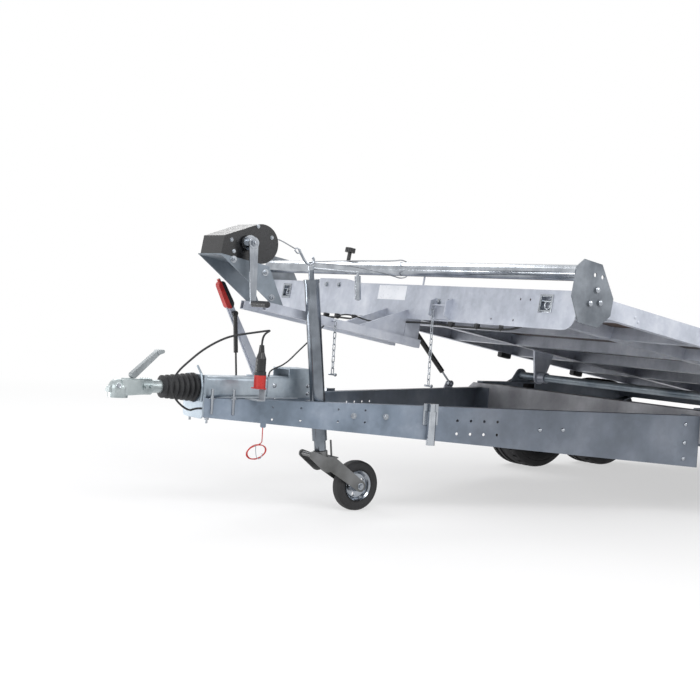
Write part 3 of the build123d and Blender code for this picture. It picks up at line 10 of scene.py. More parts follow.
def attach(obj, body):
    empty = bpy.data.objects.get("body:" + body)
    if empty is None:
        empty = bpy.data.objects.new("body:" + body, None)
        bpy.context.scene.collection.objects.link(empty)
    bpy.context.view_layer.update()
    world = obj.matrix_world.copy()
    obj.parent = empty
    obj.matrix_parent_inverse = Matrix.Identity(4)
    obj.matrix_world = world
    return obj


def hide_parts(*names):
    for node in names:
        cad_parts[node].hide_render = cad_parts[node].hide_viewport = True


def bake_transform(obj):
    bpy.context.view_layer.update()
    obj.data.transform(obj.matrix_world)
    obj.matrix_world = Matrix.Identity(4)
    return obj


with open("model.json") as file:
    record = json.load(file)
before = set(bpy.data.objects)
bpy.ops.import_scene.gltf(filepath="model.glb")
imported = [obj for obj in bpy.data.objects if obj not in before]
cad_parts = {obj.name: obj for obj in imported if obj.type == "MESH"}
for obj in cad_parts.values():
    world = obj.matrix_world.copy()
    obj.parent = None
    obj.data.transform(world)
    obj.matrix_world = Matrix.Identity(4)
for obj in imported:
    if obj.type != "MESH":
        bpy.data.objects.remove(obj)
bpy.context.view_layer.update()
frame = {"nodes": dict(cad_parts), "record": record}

nodes = frame["nodes"]
record = frame["record"]
mounts = {mount["name"]: mount for mount in record["mounts"]}
joints = {joint["name"]: joint for joint in record["behaviour"]["joints"]}

# Places are given in millimetres from the drawbar's datum, as the CAD source does.
MM = 0.001
ball = Vector(mounts["tow_ball"]["pos_m"])
datum_x = ball.x - 864 * MM
pivot = Vector(joints["bed_tilt"]["pos_m"])
tilt = math.radians(-joints["bed_tilt"]["range_deg"][0])
ahead = Vector((math.cos(tilt), 0, math.sin(tilt)))  # forward along the raised bed
above = Vector((-math.sin(tilt), 0, math.cos(tilt)))  # out of the raised bed's deck
left = Vector((0, 1, 0))
up = Vector((0, 0, 1))
# Faces and spacings of the level bed, in millimetres.
panel_face = -390
end_plate_face = 1061.5
rail_face = 1050
member_pitch = 490
bed_length = 4000


def at(x, y, z):
    """Point in metres from millimetres forward, left and up of the drawbar's datum."""
    return Vector((datum_x + x * MM, y * MM, z * MM))


def on_bed(x, y, z):
    """Point of the raised bed from its place, in millimetres, with the bed level."""
    level = at(x, y, z) - pivot
    return pivot + ahead * level.x + above * level.z + left * (level.y + pivot.y)


def facing(point, across, rise, out):
    """Place and turn of a piece at a point, with its X, Y and Z along three directions."""
    return Matrix.Translation(point) @ Matrix((across, rise, out)).transposed().to_4x4()


# ---------------------------------------------------------------- camera

eye = ball + Vector((2.0725, 4.2935, 0.3591))
eye_turn = math.radians(36.024)
eye_pitch = math.radians(2.0162)
eye_roll = math.radians(3.5625)


def make_camera():
    """Camera at the left of the drawbar, at about the height of the winch."""
    data = bpy.data.cameras.new("camera")
    data.lens = 65.26
    data.sensor_width = 36
    camera = bpy.data.objects.new("camera", data)
    bpy.context.scene.collection.objects.link(camera)
    forward = Vector((-math.sin(eye_turn), -math.cos(eye_turn), 0))
    across = Vector((-math.cos(eye_turn), math.sin(eye_turn), 0))
    look = forward * math.cos(eye_pitch) - Vector((0, 0, math.sin(eye_pitch)))
    lift = across.cross(look)
    right = across * math.cos(eye_roll) + lift * math.sin(eye_roll)
    rise = lift * math.cos(eye_roll) - across * math.sin(eye_roll)
    camera.matrix_world = facing(eye, right, rise, -look)
    bpy.context.scene.camera = camera


make_camera()


# ---------------------------------------------------------------- finishes

# A texture's scale is 1000 over the size of what it draws, in millimetres.

def linear(hex_colour):
    """Turn an sRGB hex colour into the linear values that shaders take."""
    values = [int(hex_colour[i:i + 2], 16) / 255 for i in (1, 3, 5)]
    return tuple(v / 12.92 if v <= 0.04045 else ((v + 0.055) / 1.055) ** 2.4 for v in values) + (1.0,)


def add(tree, kind, inputs=None, stops=None, **settings):
    """Add one node with its settings; an input takes a value, a hex colour or another node's socket."""
    made = tree.nodes.new(kind)
    for name, value in settings.items():
        setattr(made, name, value)
    for name, value in (inputs or {}).items():
        if isinstance(value, bpy.types.NodeSocket):
            tree.links.new(value, made.inputs[name])
        elif isinstance(value, str):
            made.inputs[name].default_value = linear(value)
        else:
            made.inputs[name].default_value = value
    for i, (position, value) in enumerate(stops or ()):
        steps = made.color_ramp.elements
        step = steps[i] if i < 2 else steps.new(position)
        step.position = position
        step.color = linear(value) if isinstance(value, str) else (value, value, value, 1)
    return made


def start(name):
    """New material with its tree, its shader and the object's own coordinates."""
    material = bpy.data.materials.new(name)
    material.use_nodes = True
    tree = material.node_tree
    place = add(tree, "ShaderNodeTexCoord").outputs["Object"]
    return material, tree, tree.nodes["Principled BSDF"], place


def galvanised(name, dark, mid, light, roughness=0.42, metallic=0.5, spangle=16, cloud=190):
    """Hot-dip galvanised steel: the dip leaves cloudy grey zinc with faint crystals and run marks."""
    material, tree, shader, place = start(name)
    clouds = add(tree, "ShaderNodeTexNoise", {"Vector": place, "Scale": 1000 / cloud, "Detail": 4.0})
    tone = add(tree, "ShaderNodeValToRGB", {"Fac": clouds.outputs["Fac"]},
               [(0.32, dark), (0.68, light), (0.5, mid)])
    crystal = add(tree, "ShaderNodeTexVoronoi", {"Vector": place, "Scale": 1000 / spangle})
    flake = add(tree, "ShaderNodeValToRGB", {"Fac": crystal.outputs["Color"]}, [(0.0, 0.45), (1.0, 0.55)])
    base = add(tree, "ShaderNodeMix", {0: 0.6, 6: tone.outputs["Color"], 7: flake.outputs["Color"]},
               data_type="RGBA", blend_type="OVERLAY")
    upright = add(tree, "ShaderNodeMapping", {"Vector": place, "Scale": (1.0, 1.0, 0.12)})
    runs = add(tree, "ShaderNodeTexNoise", {"Vector": upright.outputs[0], "Scale": 1000 / 30, "Detail": 2.0})
    drip = add(tree, "ShaderNodeValToRGB", {"Fac": runs.outputs["Fac"]}, [(0.3, 0.42), (0.7, 0.58)])
    washed = add(tree, "ShaderNodeMix", {0: 0.3, 6: base.outputs[2], 7: drip.outputs["Color"]},
                 data_type="RGBA", blend_type="OVERLAY")
    tree.links.new(washed.outputs[2], shader.inputs["Base Color"])
    patches = add(tree, "ShaderNodeTexNoise", {"Vector": place, "Scale": 1000 / 60, "Detail": 3.0})
    shine = add(tree, "ShaderNodeMapRange",
                {"Value": patches.outputs["Fac"], "From Min": 0.3, "From Max": 0.7,
                 "To Min": roughness - 0.08, "To Max": roughness + 0.1})
    tree.links.new(shine.outputs[0], shader.inputs["Roughness"])
    shader.inputs["Metallic"].default_value = metallic
    skin = add(tree, "ShaderNodeTexNoise", {"Vector": place, "Scale": 1000 / 7, "Detail": 3.0})
    relief = add(tree, "ShaderNodeBump",
                 {"Height": skin.outputs["Fac"], "Distance": 0.25 * MM, "Strength": 0.25})
    tree.links.new(relief.outputs[0], shader.inputs["Normal"])
    return material


def plated(name, dark, light, roughness=0.22, metallic=1.0, draw=(1.0, 1.0, 0.05), grain=3.5):
    """Bright zinc plate on drawn or pressed steel: even, shiny, with fine drawing lines along the work."""
    material, tree, shader, place = start(name)
    stain = add(tree, "ShaderNodeTexNoise", {"Vector": place, "Scale": 1000 / 90, "Detail": 3.0})
    tone = add(tree, "ShaderNodeValToRGB", {"Fac": stain.outputs["Fac"]}, [(0.3, dark), (0.7, light)])
    drawn = add(tree, "ShaderNodeMapping", {"Vector": place, "Scale": draw})
    lines = add(tree, "ShaderNodeTexNoise",
                {"Vector": drawn.outputs[0], "Scale": 1000 / grain, "Detail": 2.0})
    tint = add(tree, "ShaderNodeValToRGB", {"Fac": lines.outputs["Fac"]}, [(0.3, 0.44), (0.7, 0.56)])
    base = add(tree, "ShaderNodeMix", {0: 0.3, 6: tone.outputs["Color"], 7: tint.outputs["Color"]},
               data_type="RGBA", blend_type="OVERLAY")
    tree.links.new(base.outputs[2], shader.inputs["Base Color"])
    shine = add(tree, "ShaderNodeMapRange",
                {"Value": lines.outputs["Fac"], "From Min": 0.2, "From Max": 0.8,
                 "To Min": roughness - 0.05, "To Max": roughness + 0.07})
    tree.links.new(shine.outputs[0], shader.inputs["Roughness"])
    shader.inputs["Metallic"].default_value = metallic
    relief = add(tree, "ShaderNodeBump",
                 {"Height": lines.outputs["Fac"], "Distance": 0.06 * MM, "Strength": 0.2})
    tree.links.new(relief.outputs[0], shader.inputs["Normal"])
    return material


def rubber(name, colour="#141518", dusty="#26272A", roughness=0.6, grain=1.6):
    """Moulded EPDM or tyre rubber: dull black, slightly dusty, with a fine mould grain."""
    material, tree, shader, place = start(name)
    dust = add(tree, "ShaderNodeTexNoise", {"Vector": place, "Scale": 1000 / 45, "Detail": 4.0})
    tone = add(tree, "ShaderNodeValToRGB", {"Fac": dust.outputs["Fac"]}, [(0.35, colour), (0.75, dusty)])
    tree.links.new(tone.outputs["Color"], shader.inputs["Base Color"])
    shine = add(tree, "ShaderNodeMapRange",
                {"Value": dust.outputs["Fac"], "From Min": 0.3, "From Max": 0.7,
                 "To Min": roughness - 0.08, "To Max": roughness + 0.12})
    tree.links.new(shine.outputs[0], shader.inputs["Roughness"])
    shader.inputs["IOR"].default_value = 1.52
    skin = add(tree, "ShaderNodeTexNoise", {"Vector": place, "Scale": 1000 / grain, "Detail": 2.0})
    relief = add(tree, "ShaderNodeBump",
                 {"Height": skin.outputs["Fac"], "Distance": 0.15 * MM, "Strength": 0.3})
    tree.links.new(relief.outputs[0], shader.inputs["Normal"])
    return material


def moulded(name, colour, light, roughness=0.35, grain=1.2, depth=0.08):
    """Injection-moulded nylon or ABS: even colour, satin, with a spark-eroded grain from the mould."""
    material, tree, shader, place = start(name)
    shade = add(tree, "ShaderNodeTexNoise", {"Vector": place, "Scale": 1000 / 70, "Detail": 2.0})
    tone = add(tree, "ShaderNodeValToRGB", {"Fac": shade.outputs["Fac"]}, [(0.3, colour), (0.75, light)])
    tree.links.new(tone.outputs["Color"], shader.inputs["Base Color"])
    wear = add(tree, "ShaderNodeTexNoise", {"Vector": place, "Scale": 1000 / 12, "Detail": 3.0})
    shine = add(tree, "ShaderNodeMapRange",
                {"Value": wear.outputs["Fac"], "From Min": 0.3, "From Max": 0.7,
                 "To Min": roughness - 0.05, "To Max": roughness + 0.1})
    tree.links.new(shine.outputs[0], shader.inputs["Roughness"])
    shader.inputs["IOR"].default_value = 1.53
    skin = add(tree, "ShaderNodeTexNoise", {"Vector": place, "Scale": 1000 / grain, "Detail": 1.0})
    relief = add(tree, "ShaderNodeBump",
                 {"Height": skin.outputs["Fac"], "Distance": depth * MM, "Strength": 0.35})
    tree.links.new(relief.outputs[0], shader.inputs["Normal"])
    return material


def film_faced_plywood():
    """Birch plywood under brown phenolic film, pressed with a mesh so that feet don't slip."""
    material, tree, shader, place = start("film_faced_plywood")
    along = add(tree, "ShaderNodeMapping", {"Vector": place, "Scale": (0.35, 1.0, 1.0)})
    clouds = add(tree, "ShaderNodeTexNoise", {"Vector": along.outputs[0], "Scale": 1000 / 260, "Detail": 5.0})
    tone = add(tree, "ShaderNodeValToRGB", {"Fac": clouds.outputs["Fac"]},
               [(0.3, "#2A1D16"), (0.75, "#4C392C"), (0.52, "#3A291F")])
    tree.links.new(tone.outputs["Color"], shader.inputs["Base Color"])
    # The real mesh is 3 mm; it is drawn at 9 mm so that it shows.
    mesh = add(tree, "ShaderNodeTexVoronoi", {"Vector": place, "Scale": 1000 / 9, "Randomness": 0.0})
    pressed = add(tree, "ShaderNodeValToRGB", {"Fac": mesh.outputs["Distance"]}, [(0.15, 1.0), (0.42, 0.0)])
    relief = add(tree, "ShaderNodeBump",
                 {"Height": pressed.outputs["Color"], "Distance": 0.4 * MM, "Strength": 0.5})
    tree.links.new(relief.outputs[0], shader.inputs["Normal"])
    shine = add(tree, "ShaderNodeMapRange",
                {"Value": clouds.outputs["Fac"], "From Min": 0.3, "From Max": 0.7,
                 "To Min": 0.4, "To Max": 0.6})
    tree.links.new(shine.outputs[0], shader.inputs["Roughness"])
    return material


def ribbed_lens(name, colour, light):
    """Moulded acrylic lamp lens, ribbed on its inner face, with a polished skin."""
    material, tree, shader, place = start(name)
    ribs = add(tree, "ShaderNodeTexWave", {"Vector": place, "Scale": 1000 / 45}, bands_direction="Y")
    tone = add(tree, "ShaderNodeValToRGB", {"Fac": ribs.outputs["Fac"]}, [(0.2, colour), (0.8, light)])
    tree.links.new(tone.outputs["Color"], shader.inputs["Base Color"])
    shader.inputs["Roughness"].default_value = 0.12
    shader.inputs["IOR"].default_value = 1.49
    shader.inputs["Coat Weight"].default_value = 0.6
    relief = add(tree, "ShaderNodeBump",
                 {"Height": ribs.outputs["Fac"], "Distance": 0.6 * MM, "Strength": 0.6})
    tree.links.new(relief.outputs[0], shader.inputs["Normal"])
    return material


def galvanised_leg():
    """Galvanised frame: blue-grey zinc, duller and more neutral towards the rear."""
    material = galvanised("galvanised_leg", "#66727F", "#7E8A99", "#99A3B1", 0.46, 0.45, 18, 210)
    tree = material.node_tree
    shader = tree.nodes["Principled BSDF"]
    zinc = shader.inputs["Base Color"].links[0].from_socket
    place = add(tree, "ShaderNodeTexCoord").outputs["Object"]
    along = add(tree, "ShaderNodeSeparateXYZ", {"Vector": place})
    ragged = add(tree, "ShaderNodeTexNoise", {"Vector": place, "Scale": 1000 / 160, "Detail": 5.0})
    edge = add(tree, "ShaderNodeMath", {0: ragged.outputs["Fac"], 1: 0.4, 2: along.outputs["X"]},
               operation="MULTIPLY_ADD")
    # Metres along X, plus the ragged edge, where the duller grey starts and where the zinc is whole.
    patch = add(tree, "ShaderNodeMapRange", {"Value": edge.outputs[0], "From Min": 1.75, "From Max": 1.35})
    dull = add(tree, "ShaderNodeMix", {0: 0.55, 6: zinc, 7: "#5E6066"}, data_type="RGBA")
    rear_dulled = add(tree, "ShaderNodeMix", {0: patch.outputs[0], 6: zinc, 7: dull.outputs[2]}, data_type="RGBA")
    tree.links.new(rear_dulled.outputs[2], shader.inputs["Base Color"])
    return material


def two_tone(name, foot, way, start_of_red, other, width=2.0):
    """Red moulding that turns to another colour short of a distance along a direction, in millimetres."""
    material = moulded(name, "#A31B17", "#BE2C24", 0.3)
    tree = material.node_tree
    shader = tree.nodes["Principled BSDF"]
    red = shader.inputs["Base Color"].links[0].from_socket
    place = add(tree, "ShaderNodeTexCoord").outputs["Object"]
    local = add(tree, "ShaderNodeVectorMath", {0: place, 1: foot}, operation="SUBTRACT")
    along = add(tree, "ShaderNodeVectorMath", {0: local.outputs["Vector"], 1: way}, operation="DOT_PRODUCT")
    share = add(tree, "ShaderNodeMapRange",
                {"Value": along.outputs["Value"], "From Min": start_of_red * MM,
                 "From Max": (start_of_red + width) * MM})
    both = add(tree, "ShaderNodeMix", {0: share.outputs[0], 6: other, 7: red}, data_type="RGBA")
    tree.links.new(both.outputs[2], shader.inputs["Base Color"])
    return material


finishes = {
    # Galvanised legs, main rails and axles, duller and more neutral towards the rear.
    "leg_steel": galvanised_leg(),
    # Galvanised folded cross-member, older zinc that has dulled to a neutral grey.
    "weathered_steel": galvanised("galvanised_weathered", "#85868B", "#9A9BA0", "#ADAEB3", 0.5, 0.3, 18, 160),
    # Galvanised sheet, pale and even: panel, rails and brackets.
    "galvanised_sheet": galvanised("galvanised_sheet", "#A2A7B2", "#B5BAC5", "#C8CCD5", 0.4, 0.4, 14, 170),
    # Zinc-plated pressing of the coupling head, with a greenish grey cast.
    "cast_coupling": plated("zinc_plated_pressing", "#8E989A", "#B9C1C2", 0.32, 0.8, (1.0, 1.0, 0.6)),
    # Zinc-plated overrun housing, cloudier than sheet.
    "zinc_housing": galvanised("zinc_plated_box", "#7D8994", "#9AA5AF", "#B5BFC7", 0.36, 0.6, 12, 120),
    # Drawn tube with bright zinc, which mirrors its surroundings along its length.
    "bright_tube": plated("bright_zinc_tube", "#8F949B", "#B9BEC4", 0.17, 1.0),
    # Thick laser-cut plate, dip galvanised, dark and flat.
    "plate_steel": galvanised("dark_galvanised_plate", "#5C6269", "#6E747B", "#80868D", 0.44, 0.4, 14, 90),
    # Moulded rubber of bellows, buffers and cable sheaths.
    "black_rubber": rubber("black_rubber"),
    # Tyre rubber, dustier and coarser in its grain.
    "tyre_rubber": rubber("tyre_rubber", "#18181A", "#2B2B2D", 0.7, 2.4),
    # Black nylon of covers, knobs, plugs and clips.
    "black_plastic": moulded("black_nylon", "#0E0F12", "#18191D", 0.28),
    # Black enamel sprayed over steel, smooth, so its grain is only orange peel.
    "black_paint": moulded("black_enamel", "#0B0B0C", "#151517", 0.25, 5.0, 0.03),
    # Red nylon, which also sheathes the breakaway cable.
    "red_plastic": moulded("red_nylon", "#A31B17", "#BE2C24", 0.3),
    # Silver wheel enamel: fine flakes, smooth, half metallic.
    "wheel_paint": galvanised("silver_wheel_enamel", "#9EA2A6", "#B0B4B8", "#BFC3C6", 0.33, 0.6, 5, 90),
    # Floor board of the bed.
    "plywood": film_faced_plywood(),
    # Red acrylic of the tail lamps.
    "lamp_red": ribbed_lens("red_acrylic_lens", "#7E0F10", "#B01A18"),
}
# Amber acrylic of the indicators and clear acrylic of the reversing lamps.
lens_amber = ribbed_lens("amber_acrylic_lens", "#A8560C", "#D07A1C")
lens_clear = ribbed_lens("clear_acrylic_lens", "#B9BDC0", "#DFE2E4")
# Stranded galvanised wire rope, greyed by grease.
wire_rope = plated("greased_wire_rope", "#7C7F84", "#A6A9AE", 0.35, 1.0, (1.0, 1.0, 1.0), 2.5)
# Polyester label film, left blank.
blank_film = moulded("blank_label_film", "#DDE0E6", "#E8EAEF", 0.3, 6.0, 0.02)
# Drawn zinc of the jockey's tubes, greyer than the stop tube; the darker grey is painted shade, standing in
# for the dark reflections along the tubes' sides.
painted_dark_tube = plated("drawn_tube_painted_dark", "#62686F", "#8A9098", 0.2, 1.0)
# Zinc plate worn dull by road dirt.
dirty_zinc = plated("dirty_zinc", "#5C5D5C", "#7D7E7F", 0.38, 0.9, (1.0, 1.0, 1.0), 5.0)
# Thin galvanised plate, greyer than the panel.
grey_plate = galvanised("grey_galvanised_plate", "#646C74", "#747D86", "#858E98", 0.46, 0.35, 12, 120)

# Lean and foot of the handbrake lever, and the height where the parking socket turns red.
brake_lean = math.radians(29.1)
brake_pivot = at(134, -165, 484)
collar_foot = at(0, 0, 492)
# CAD pieces whose finish isn't that of their slot.
own_finish = {
    # Parking socket: red collar for the plug, on a zinc foot.
    "parking_socket": two_tone("red_collar_on_zinc_foot", collar_foot, up, 0.0, "#8F959B"),
    # Grip: red along its front, black behind.
    "handbrake_grip": two_tone("red_and_black_grip", brake_pivot,
                               (math.cos(brake_lean), 0, -math.sin(brake_lean)), -2.0, "#0E0F12"),
    # Jockey tubes: darker zinc, as painted shade for the dark reflections on their sides.
    "jockey_tube": painted_dark_tube,
    "jockey_inner_tube": painted_dark_tube,
    "jockey_fork": dirty_zinc,
    "winch_bracket": grey_plate,
    # Cast lever with a sand-cast skin.
    "coupling_lever": galvanised("cast_lever", "#7E8487", "#91979A", "#A4AAAC", 0.46, 0.3, 6, 60),
}

for part in record["subparts"]:
    mesh = nodes[part["node"]].data
    mesh.materials.clear()
    mesh.materials.append(own_finish.get(part["node"], finishes[part["material_slot"]]))


# ---------------------------------------------------------------- modelling

def alone(piece):
    """Select one object and make it active."""
    bpy.ops.object.select_all(action="DESELECT")
    piece.select_set(True)
    bpy.context.view_layer.objects.active = piece


def pick(piece, test):
    """In edit mode, select the faces that pass a test on their centre and normal."""
    bpy.ops.mesh.select_mode(type="FACE")
    bpy.ops.mesh.select_all(action="DESELECT")
    form = bmesh.from_edit_mesh(piece.data)
    for face in form.faces:
        if test(face.calc_center_median(), face.normal):
            face.select_set(True)
    bmesh.update_edit_mesh(piece.data)


def cylinder(radius, depth, sides=24, foot=0.0):
    """Cylinder on the Z axis from its foot up, in millimetres; the start of turned pieces."""
    bpy.ops.object.select_all(action="DESELECT")
    bpy.ops.mesh.primitive_cylinder_add(vertices=sides, radius=radius * MM, depth=depth * MM,
                                        location=(0, 0, (foot + depth / 2) * MM))
    piece = bpy.context.object
    bpy.ops.object.transform_apply(location=True, rotation=True, scale=True)
    return piece


def rounded_box(low, high, edge, segments=2):
    """Box between two corners in millimetres about the origin, with bevelled edges."""
    size = Vector(high) - Vector(low)
    middle = (Vector(high) + Vector(low)) / 2
    bpy.ops.object.select_all(action="DESELECT")
    bpy.ops.mesh.primitive_cube_add(size=1, location=middle * MM, scale=size * MM)
    piece = bpy.context.object
    bpy.ops.object.transform_apply(location=True, rotation=True, scale=True)
    bevel = piece.modifiers.new("edge", "BEVEL")
    bevel.width = edge * MM
    bevel.segments = segments
    bpy.ops.object.modifier_apply(modifier=bevel.name)
    return piece


def crown(piece, top, steps):
    """Raise the top face of a piece in steps of (rise, share of its width)."""
    alone(piece)
    bpy.ops.object.mode_set(mode="EDIT")
    pick(piece, lambda middle, normal: normal.z > 0.9 and middle.z > (top - 0.1) * MM)
    for rise, share in steps:
        bpy.ops.mesh.extrude_region_move(TRANSFORM_OT_translate={"value": (0, 0, rise * MM)})
        bpy.ops.transform.resize(value=(share, share, 1))
    bpy.ops.object.mode_set(mode="OBJECT")
    return piece


def joined(pieces):
    """Join several objects into the first."""
    alone(pieces[0])
    for piece in pieces:
        piece.select_set(True)
    bpy.ops.object.join()
    return pieces[0]


def placed(piece, place):
    """Piece with its place and turn made part of its mesh."""
    piece.matrix_world = place
    alone(piece)
    bpy.ops.object.transform_apply(location=True, rotation=True, scale=True)
    return piece


def stand(piece, point, way, spin=0.0):
    """Put a piece made on the Z axis at a point, with its Z along a direction."""
    turn = Vector(way).to_track_quat("Z", "Y").to_matrix().to_4x4()
    return placed(piece, Matrix.Translation(point) @ turn @ Matrix.Rotation(spin, 4, "Z"))


def copy_of(piece):
    """Copy of an object with its own mesh."""
    twin = piece.copy()
    twin.data = piece.data.copy()
    bpy.context.scene.collection.objects.link(twin)
    return twin


def hand_over(piece, name, body, slot, finish=None, smooth=32):
    """Clean a finished piece, give it its finish and let it ride on its body."""
    alone(piece)
    piece.name = name
    bpy.ops.object.transform_apply(location=True, rotation=True, scale=True)
    if piece.type == "MESH":
        bpy.ops.object.mode_set(mode="EDIT")
        bpy.ops.mesh.select_all(action="SELECT")
        bpy.ops.mesh.remove_doubles(threshold=0.01 * MM)
        bpy.ops.mesh.normals_make_consistent(inside=False)
        bpy.ops.object.mode_set(mode="OBJECT")
        bpy.ops.object.shade_smooth_by_angle(angle=math.radians(smooth))
    piece.data.materials.clear()
    piece.data.materials.append(finish or finishes[slot])
    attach(piece, body)
    return piece


def set_out(master, name, body, slot, spots, finish=None):
    """One piece from copies of a master, each at a point and along a direction; the master goes."""
    copies = []
    for i, (point, way) in enumerate(spots):
        copies.append(stand(copy_of(master), point, way, 0.37 * i))
    bpy.data.objects.remove(master)
    return hand_over(joined(copies), name, body, slot, finish)


def dome_head(radius=10.0, height=6.0):
    """Round head of a coach bolt."""
    return crown(cylinder(radius, height * 0.3), height * 0.3,
                 [(height * 0.3, 0.88), (height * 0.22, 0.78), (height * 0.13, 0.62), (height * 0.05, 0.4)])


def hex_head(radius=9.0, height=7.0, washer=13.0, thread=0.0):
    """Hexagon head or nut with its washer, and a thread end if it has one."""
    head = crown(cylinder(radius, height * 0.85, 6, 2.0), 2 + height * 0.85, [(height * 0.15, 0.88)])
    parts = [crown(cylinder(washer, 1.5), 1.5, [(0.5, 0.97)]), head]
    if thread:
        end = 2 + height + thread
        parts.append(crown(cylinder(radius * 0.55, thread, 16, 2 + height), end, [(1.0, 0.8)]))
    return joined(parts)


def wire(name, points, radius, body, slot, finish=None):
    """Round wire or cable on a smooth line, from its control points in metres; free if it has no body."""
    data = bpy.data.curves.new(name, "CURVE")
    data.dimensions = "3D"
    data.bevel_depth = radius * MM
    data.bevel_resolution = 3
    data.resolution_u = 8
    data.use_fill_caps = True
    spline = data.splines.new("NURBS")
    spline.points.add(len(points) - 1)
    for control, point in zip(spline.points, points):
        control.co = (*point, 1)
    spline.order_u = 3
    spline.use_endpoint_u = True
    piece = bpy.data.objects.new(name, data)
    bpy.context.scene.collection.objects.link(piece)
    data.materials.append(finish or finishes[slot])
    if body:
        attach(piece, body)
    return piece


def mirrored_on_bed(places):
    """Spots on the left of the bed and the same on its right, each with its way outwards."""
    return [(on_bed(x, side * y, z), left * side) for side in (1, -1) for x, y, z in places]


# ---------------------------------------------------------------- cords on the drawbar

def make_lead():
    """Lead from the plug on its parking socket, forward over the drawbar and back down to the nose."""
    route = [
        (352, 165, 663.05), (352, 165, 680), (352, 175, 701), (353, 199, 714), (363, 235, 721),
        (389, 263, 722), (428, 280, 718), (495, 291, 709), (569, 300, 698), (621, 295, 677),
        (668, 270, 642), (694, 230, 602), (710, 168, 555), (702, 116, 512), (689, 90, 472),
        (663, 81, 441), (632, 79, 415), (600, 77, 401), (572, 68, 409), (546.05, 68, 409),
    ]
    lead = wire("lead_cable", [at(*point) for point in route], 4.0, "chassis", "black_rubber")
    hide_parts("plug_lead")


def make_bed_cable():
    """Cable from the overrun housing up to the bed."""
    radius = 3.0
    route = [
        (240, 50, 534.05), (240, 50, 548), (230, 50, 560), (208, 50, 570), (180, 50, 580),
        (148, 51, 601), (108, 50, 638), (66, 50, 674), (24, 51, 712), (-12, 52, 751),
        (-52, 53, 783), (-106, 54, 799), (-164, 56, 793), (-222, 57, 777), (-284, 58, 774),
        (-328, 59, 783),
    ]
    cable = wire("bed_cable_sheath", [at(*point) for point in route], radius, None, "black_rubber")
    # Without its thickness the sheath is the bare line that the cord's path takes.
    cable.data.bevel_depth = 0
    line = bpy.data.meshes.new_from_object(cable)
    cable.data.bevel_depth = radius * MM
    alone(cable)
    bpy.ops.object.convert(target="MESH")
    bpy.ops.object.shade_smooth()
    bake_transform(cable)
    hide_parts("bed_cable")


def make_breakaway():
    """Breakaway cable: down from the leg's tab, then three loose oval turns, with a wire hook on its end."""
    turns = 3
    turn_points = 12
    half_long = 39.5
    half_short = 26.5
    drop = 62.0
    turn_gap = 4.2  # from one turn to the next, along the coil
    face_turn = math.radians(22)  # about the vertical
    lean = math.radians(25)
    first_angle = 100
    across = Vector((math.cos(face_turn), -math.sin(face_turn), 0))
    through = Vector((math.sin(face_turn), math.cos(face_turn), 0))
    tab = at(312, 142.5, 342)
    top = tab - up * drop * MM
    middle = top + (across * 20 - up * 33) * MM
    points = [tab, tab - up * 20 * MM, tab - up * 42 * MM, top]
    for i in range(1, turns * turn_points + 1):
        angle = math.radians(first_angle - 360 / turn_points * i)
        wander = 1 + 0.05 * math.sin(1.3 + i / 4.4)  # no two turns lie alike
        long_way = half_long * math.cos(angle) * wander
        short_way = half_short * math.sin(angle) * (2 - wander)
        out = long_way * math.cos(lean) + short_way * math.sin(lean)
        rise = short_way * math.cos(lean) - long_way * math.sin(lean)
        shift = (i / turn_points - turns / 2) * turn_gap
        points.append(middle + (across * out + up * rise + through * shift) * MM)
    rope = wire("breakaway_rope", points, 2.0, "chassis", "red_plastic")
    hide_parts("breakaway_cable", "breakaway_coil")
    hook_shape = [
        (0, 0), (-1, -8), (-1, -20), (-3, -36), (-7, -48), (-15, -54), (-23, -50), (-26, -40), (-27, -30),
    ]
    hook_line = [points[-1] + (across * u + up * v) * MM for u, v in hook_shape]
    hook = wire("breakaway_hook", hook_line, 1.6, "chassis", "bright_tube")


def make_cable_sleeve():
    """Moulded sleeve and gland that hold the cable where it meets the bed."""
    line = [on_bed(-389, 60, 574), on_bed(-372, 60, 570), on_bed(-342, 60, 556), on_bed(-303, 59, 541)]
    wire("cable_sleeve", line, 5.5, "bed", "black_rubber")
    spots = [(on_bed(panel_face, 60, 574), ahead)]
    set_out(hex_head(9, 8, 11), "cable_gland", "bed", "black_plastic", spots)


make_lead()
make_bed_cable()
make_breakaway()
make_cable_sleeve()


# ---------------------------------------------------------------- lock chains

link_pitch = 24.0
link_width = 15.0
link_wire = 4.2
link_overlap = 0.3  # each end sinks this far into the next link


def chain_link():
    """Welded link of round wire, long on Z, in the XZ plane."""
    bend = (link_width - link_wire) / 2
    bpy.ops.object.select_all(action="DESELECT")
    bpy.ops.mesh.primitive_torus_add(major_radius=bend * MM, minor_radius=link_wire / 2 * MM,
                                     major_segments=20, minor_segments=8, rotation=(math.pi / 2, 0, 0))
    link = bpy.context.object
    bpy.ops.object.transform_apply(location=True, rotation=True, scale=True)
    half_straight = (link_pitch + link_wire) / 2 - link_overlap - bend
    for way in (1, -1):
        alone(link)
        bpy.ops.object.mode_set(mode="EDIT")
        pick(link, lambda middle, normal: middle.z * way > 0)
        bpy.ops.transform.translate(value=(0, 0, way * half_straight * MM))
        bpy.ops.object.mode_set(mode="OBJECT")
    return link


def hang_chain(hook, links):
    """Links that hang from a hook, with the locking pin and its collar at the end."""
    link = chain_link()
    top = hook + up * 3.4 * MM
    parts = []
    for i in range(links):
        twin = copy_of(link)
        turn = Matrix.Rotation(math.radians(90 * (i % 2)), 4, "Z")
        twin.matrix_world = Matrix.Translation(top - up * (i + 0.5) * link_pitch * MM) @ turn
        parts.append(twin)
    bpy.data.objects.remove(link)
    foot = top - up * (links * link_pitch + 2) * MM
    pin = crown(cylinder(4, 44, 20), 44, [(2, 0.6)])
    parts.append(stand(pin, foot - left * 23 * MM, left))
    parts.append(stand(crown(cylinder(7, 3, 20), 3, [(1, 0.85)]), foot + left * 19 * MM, left))
    return parts


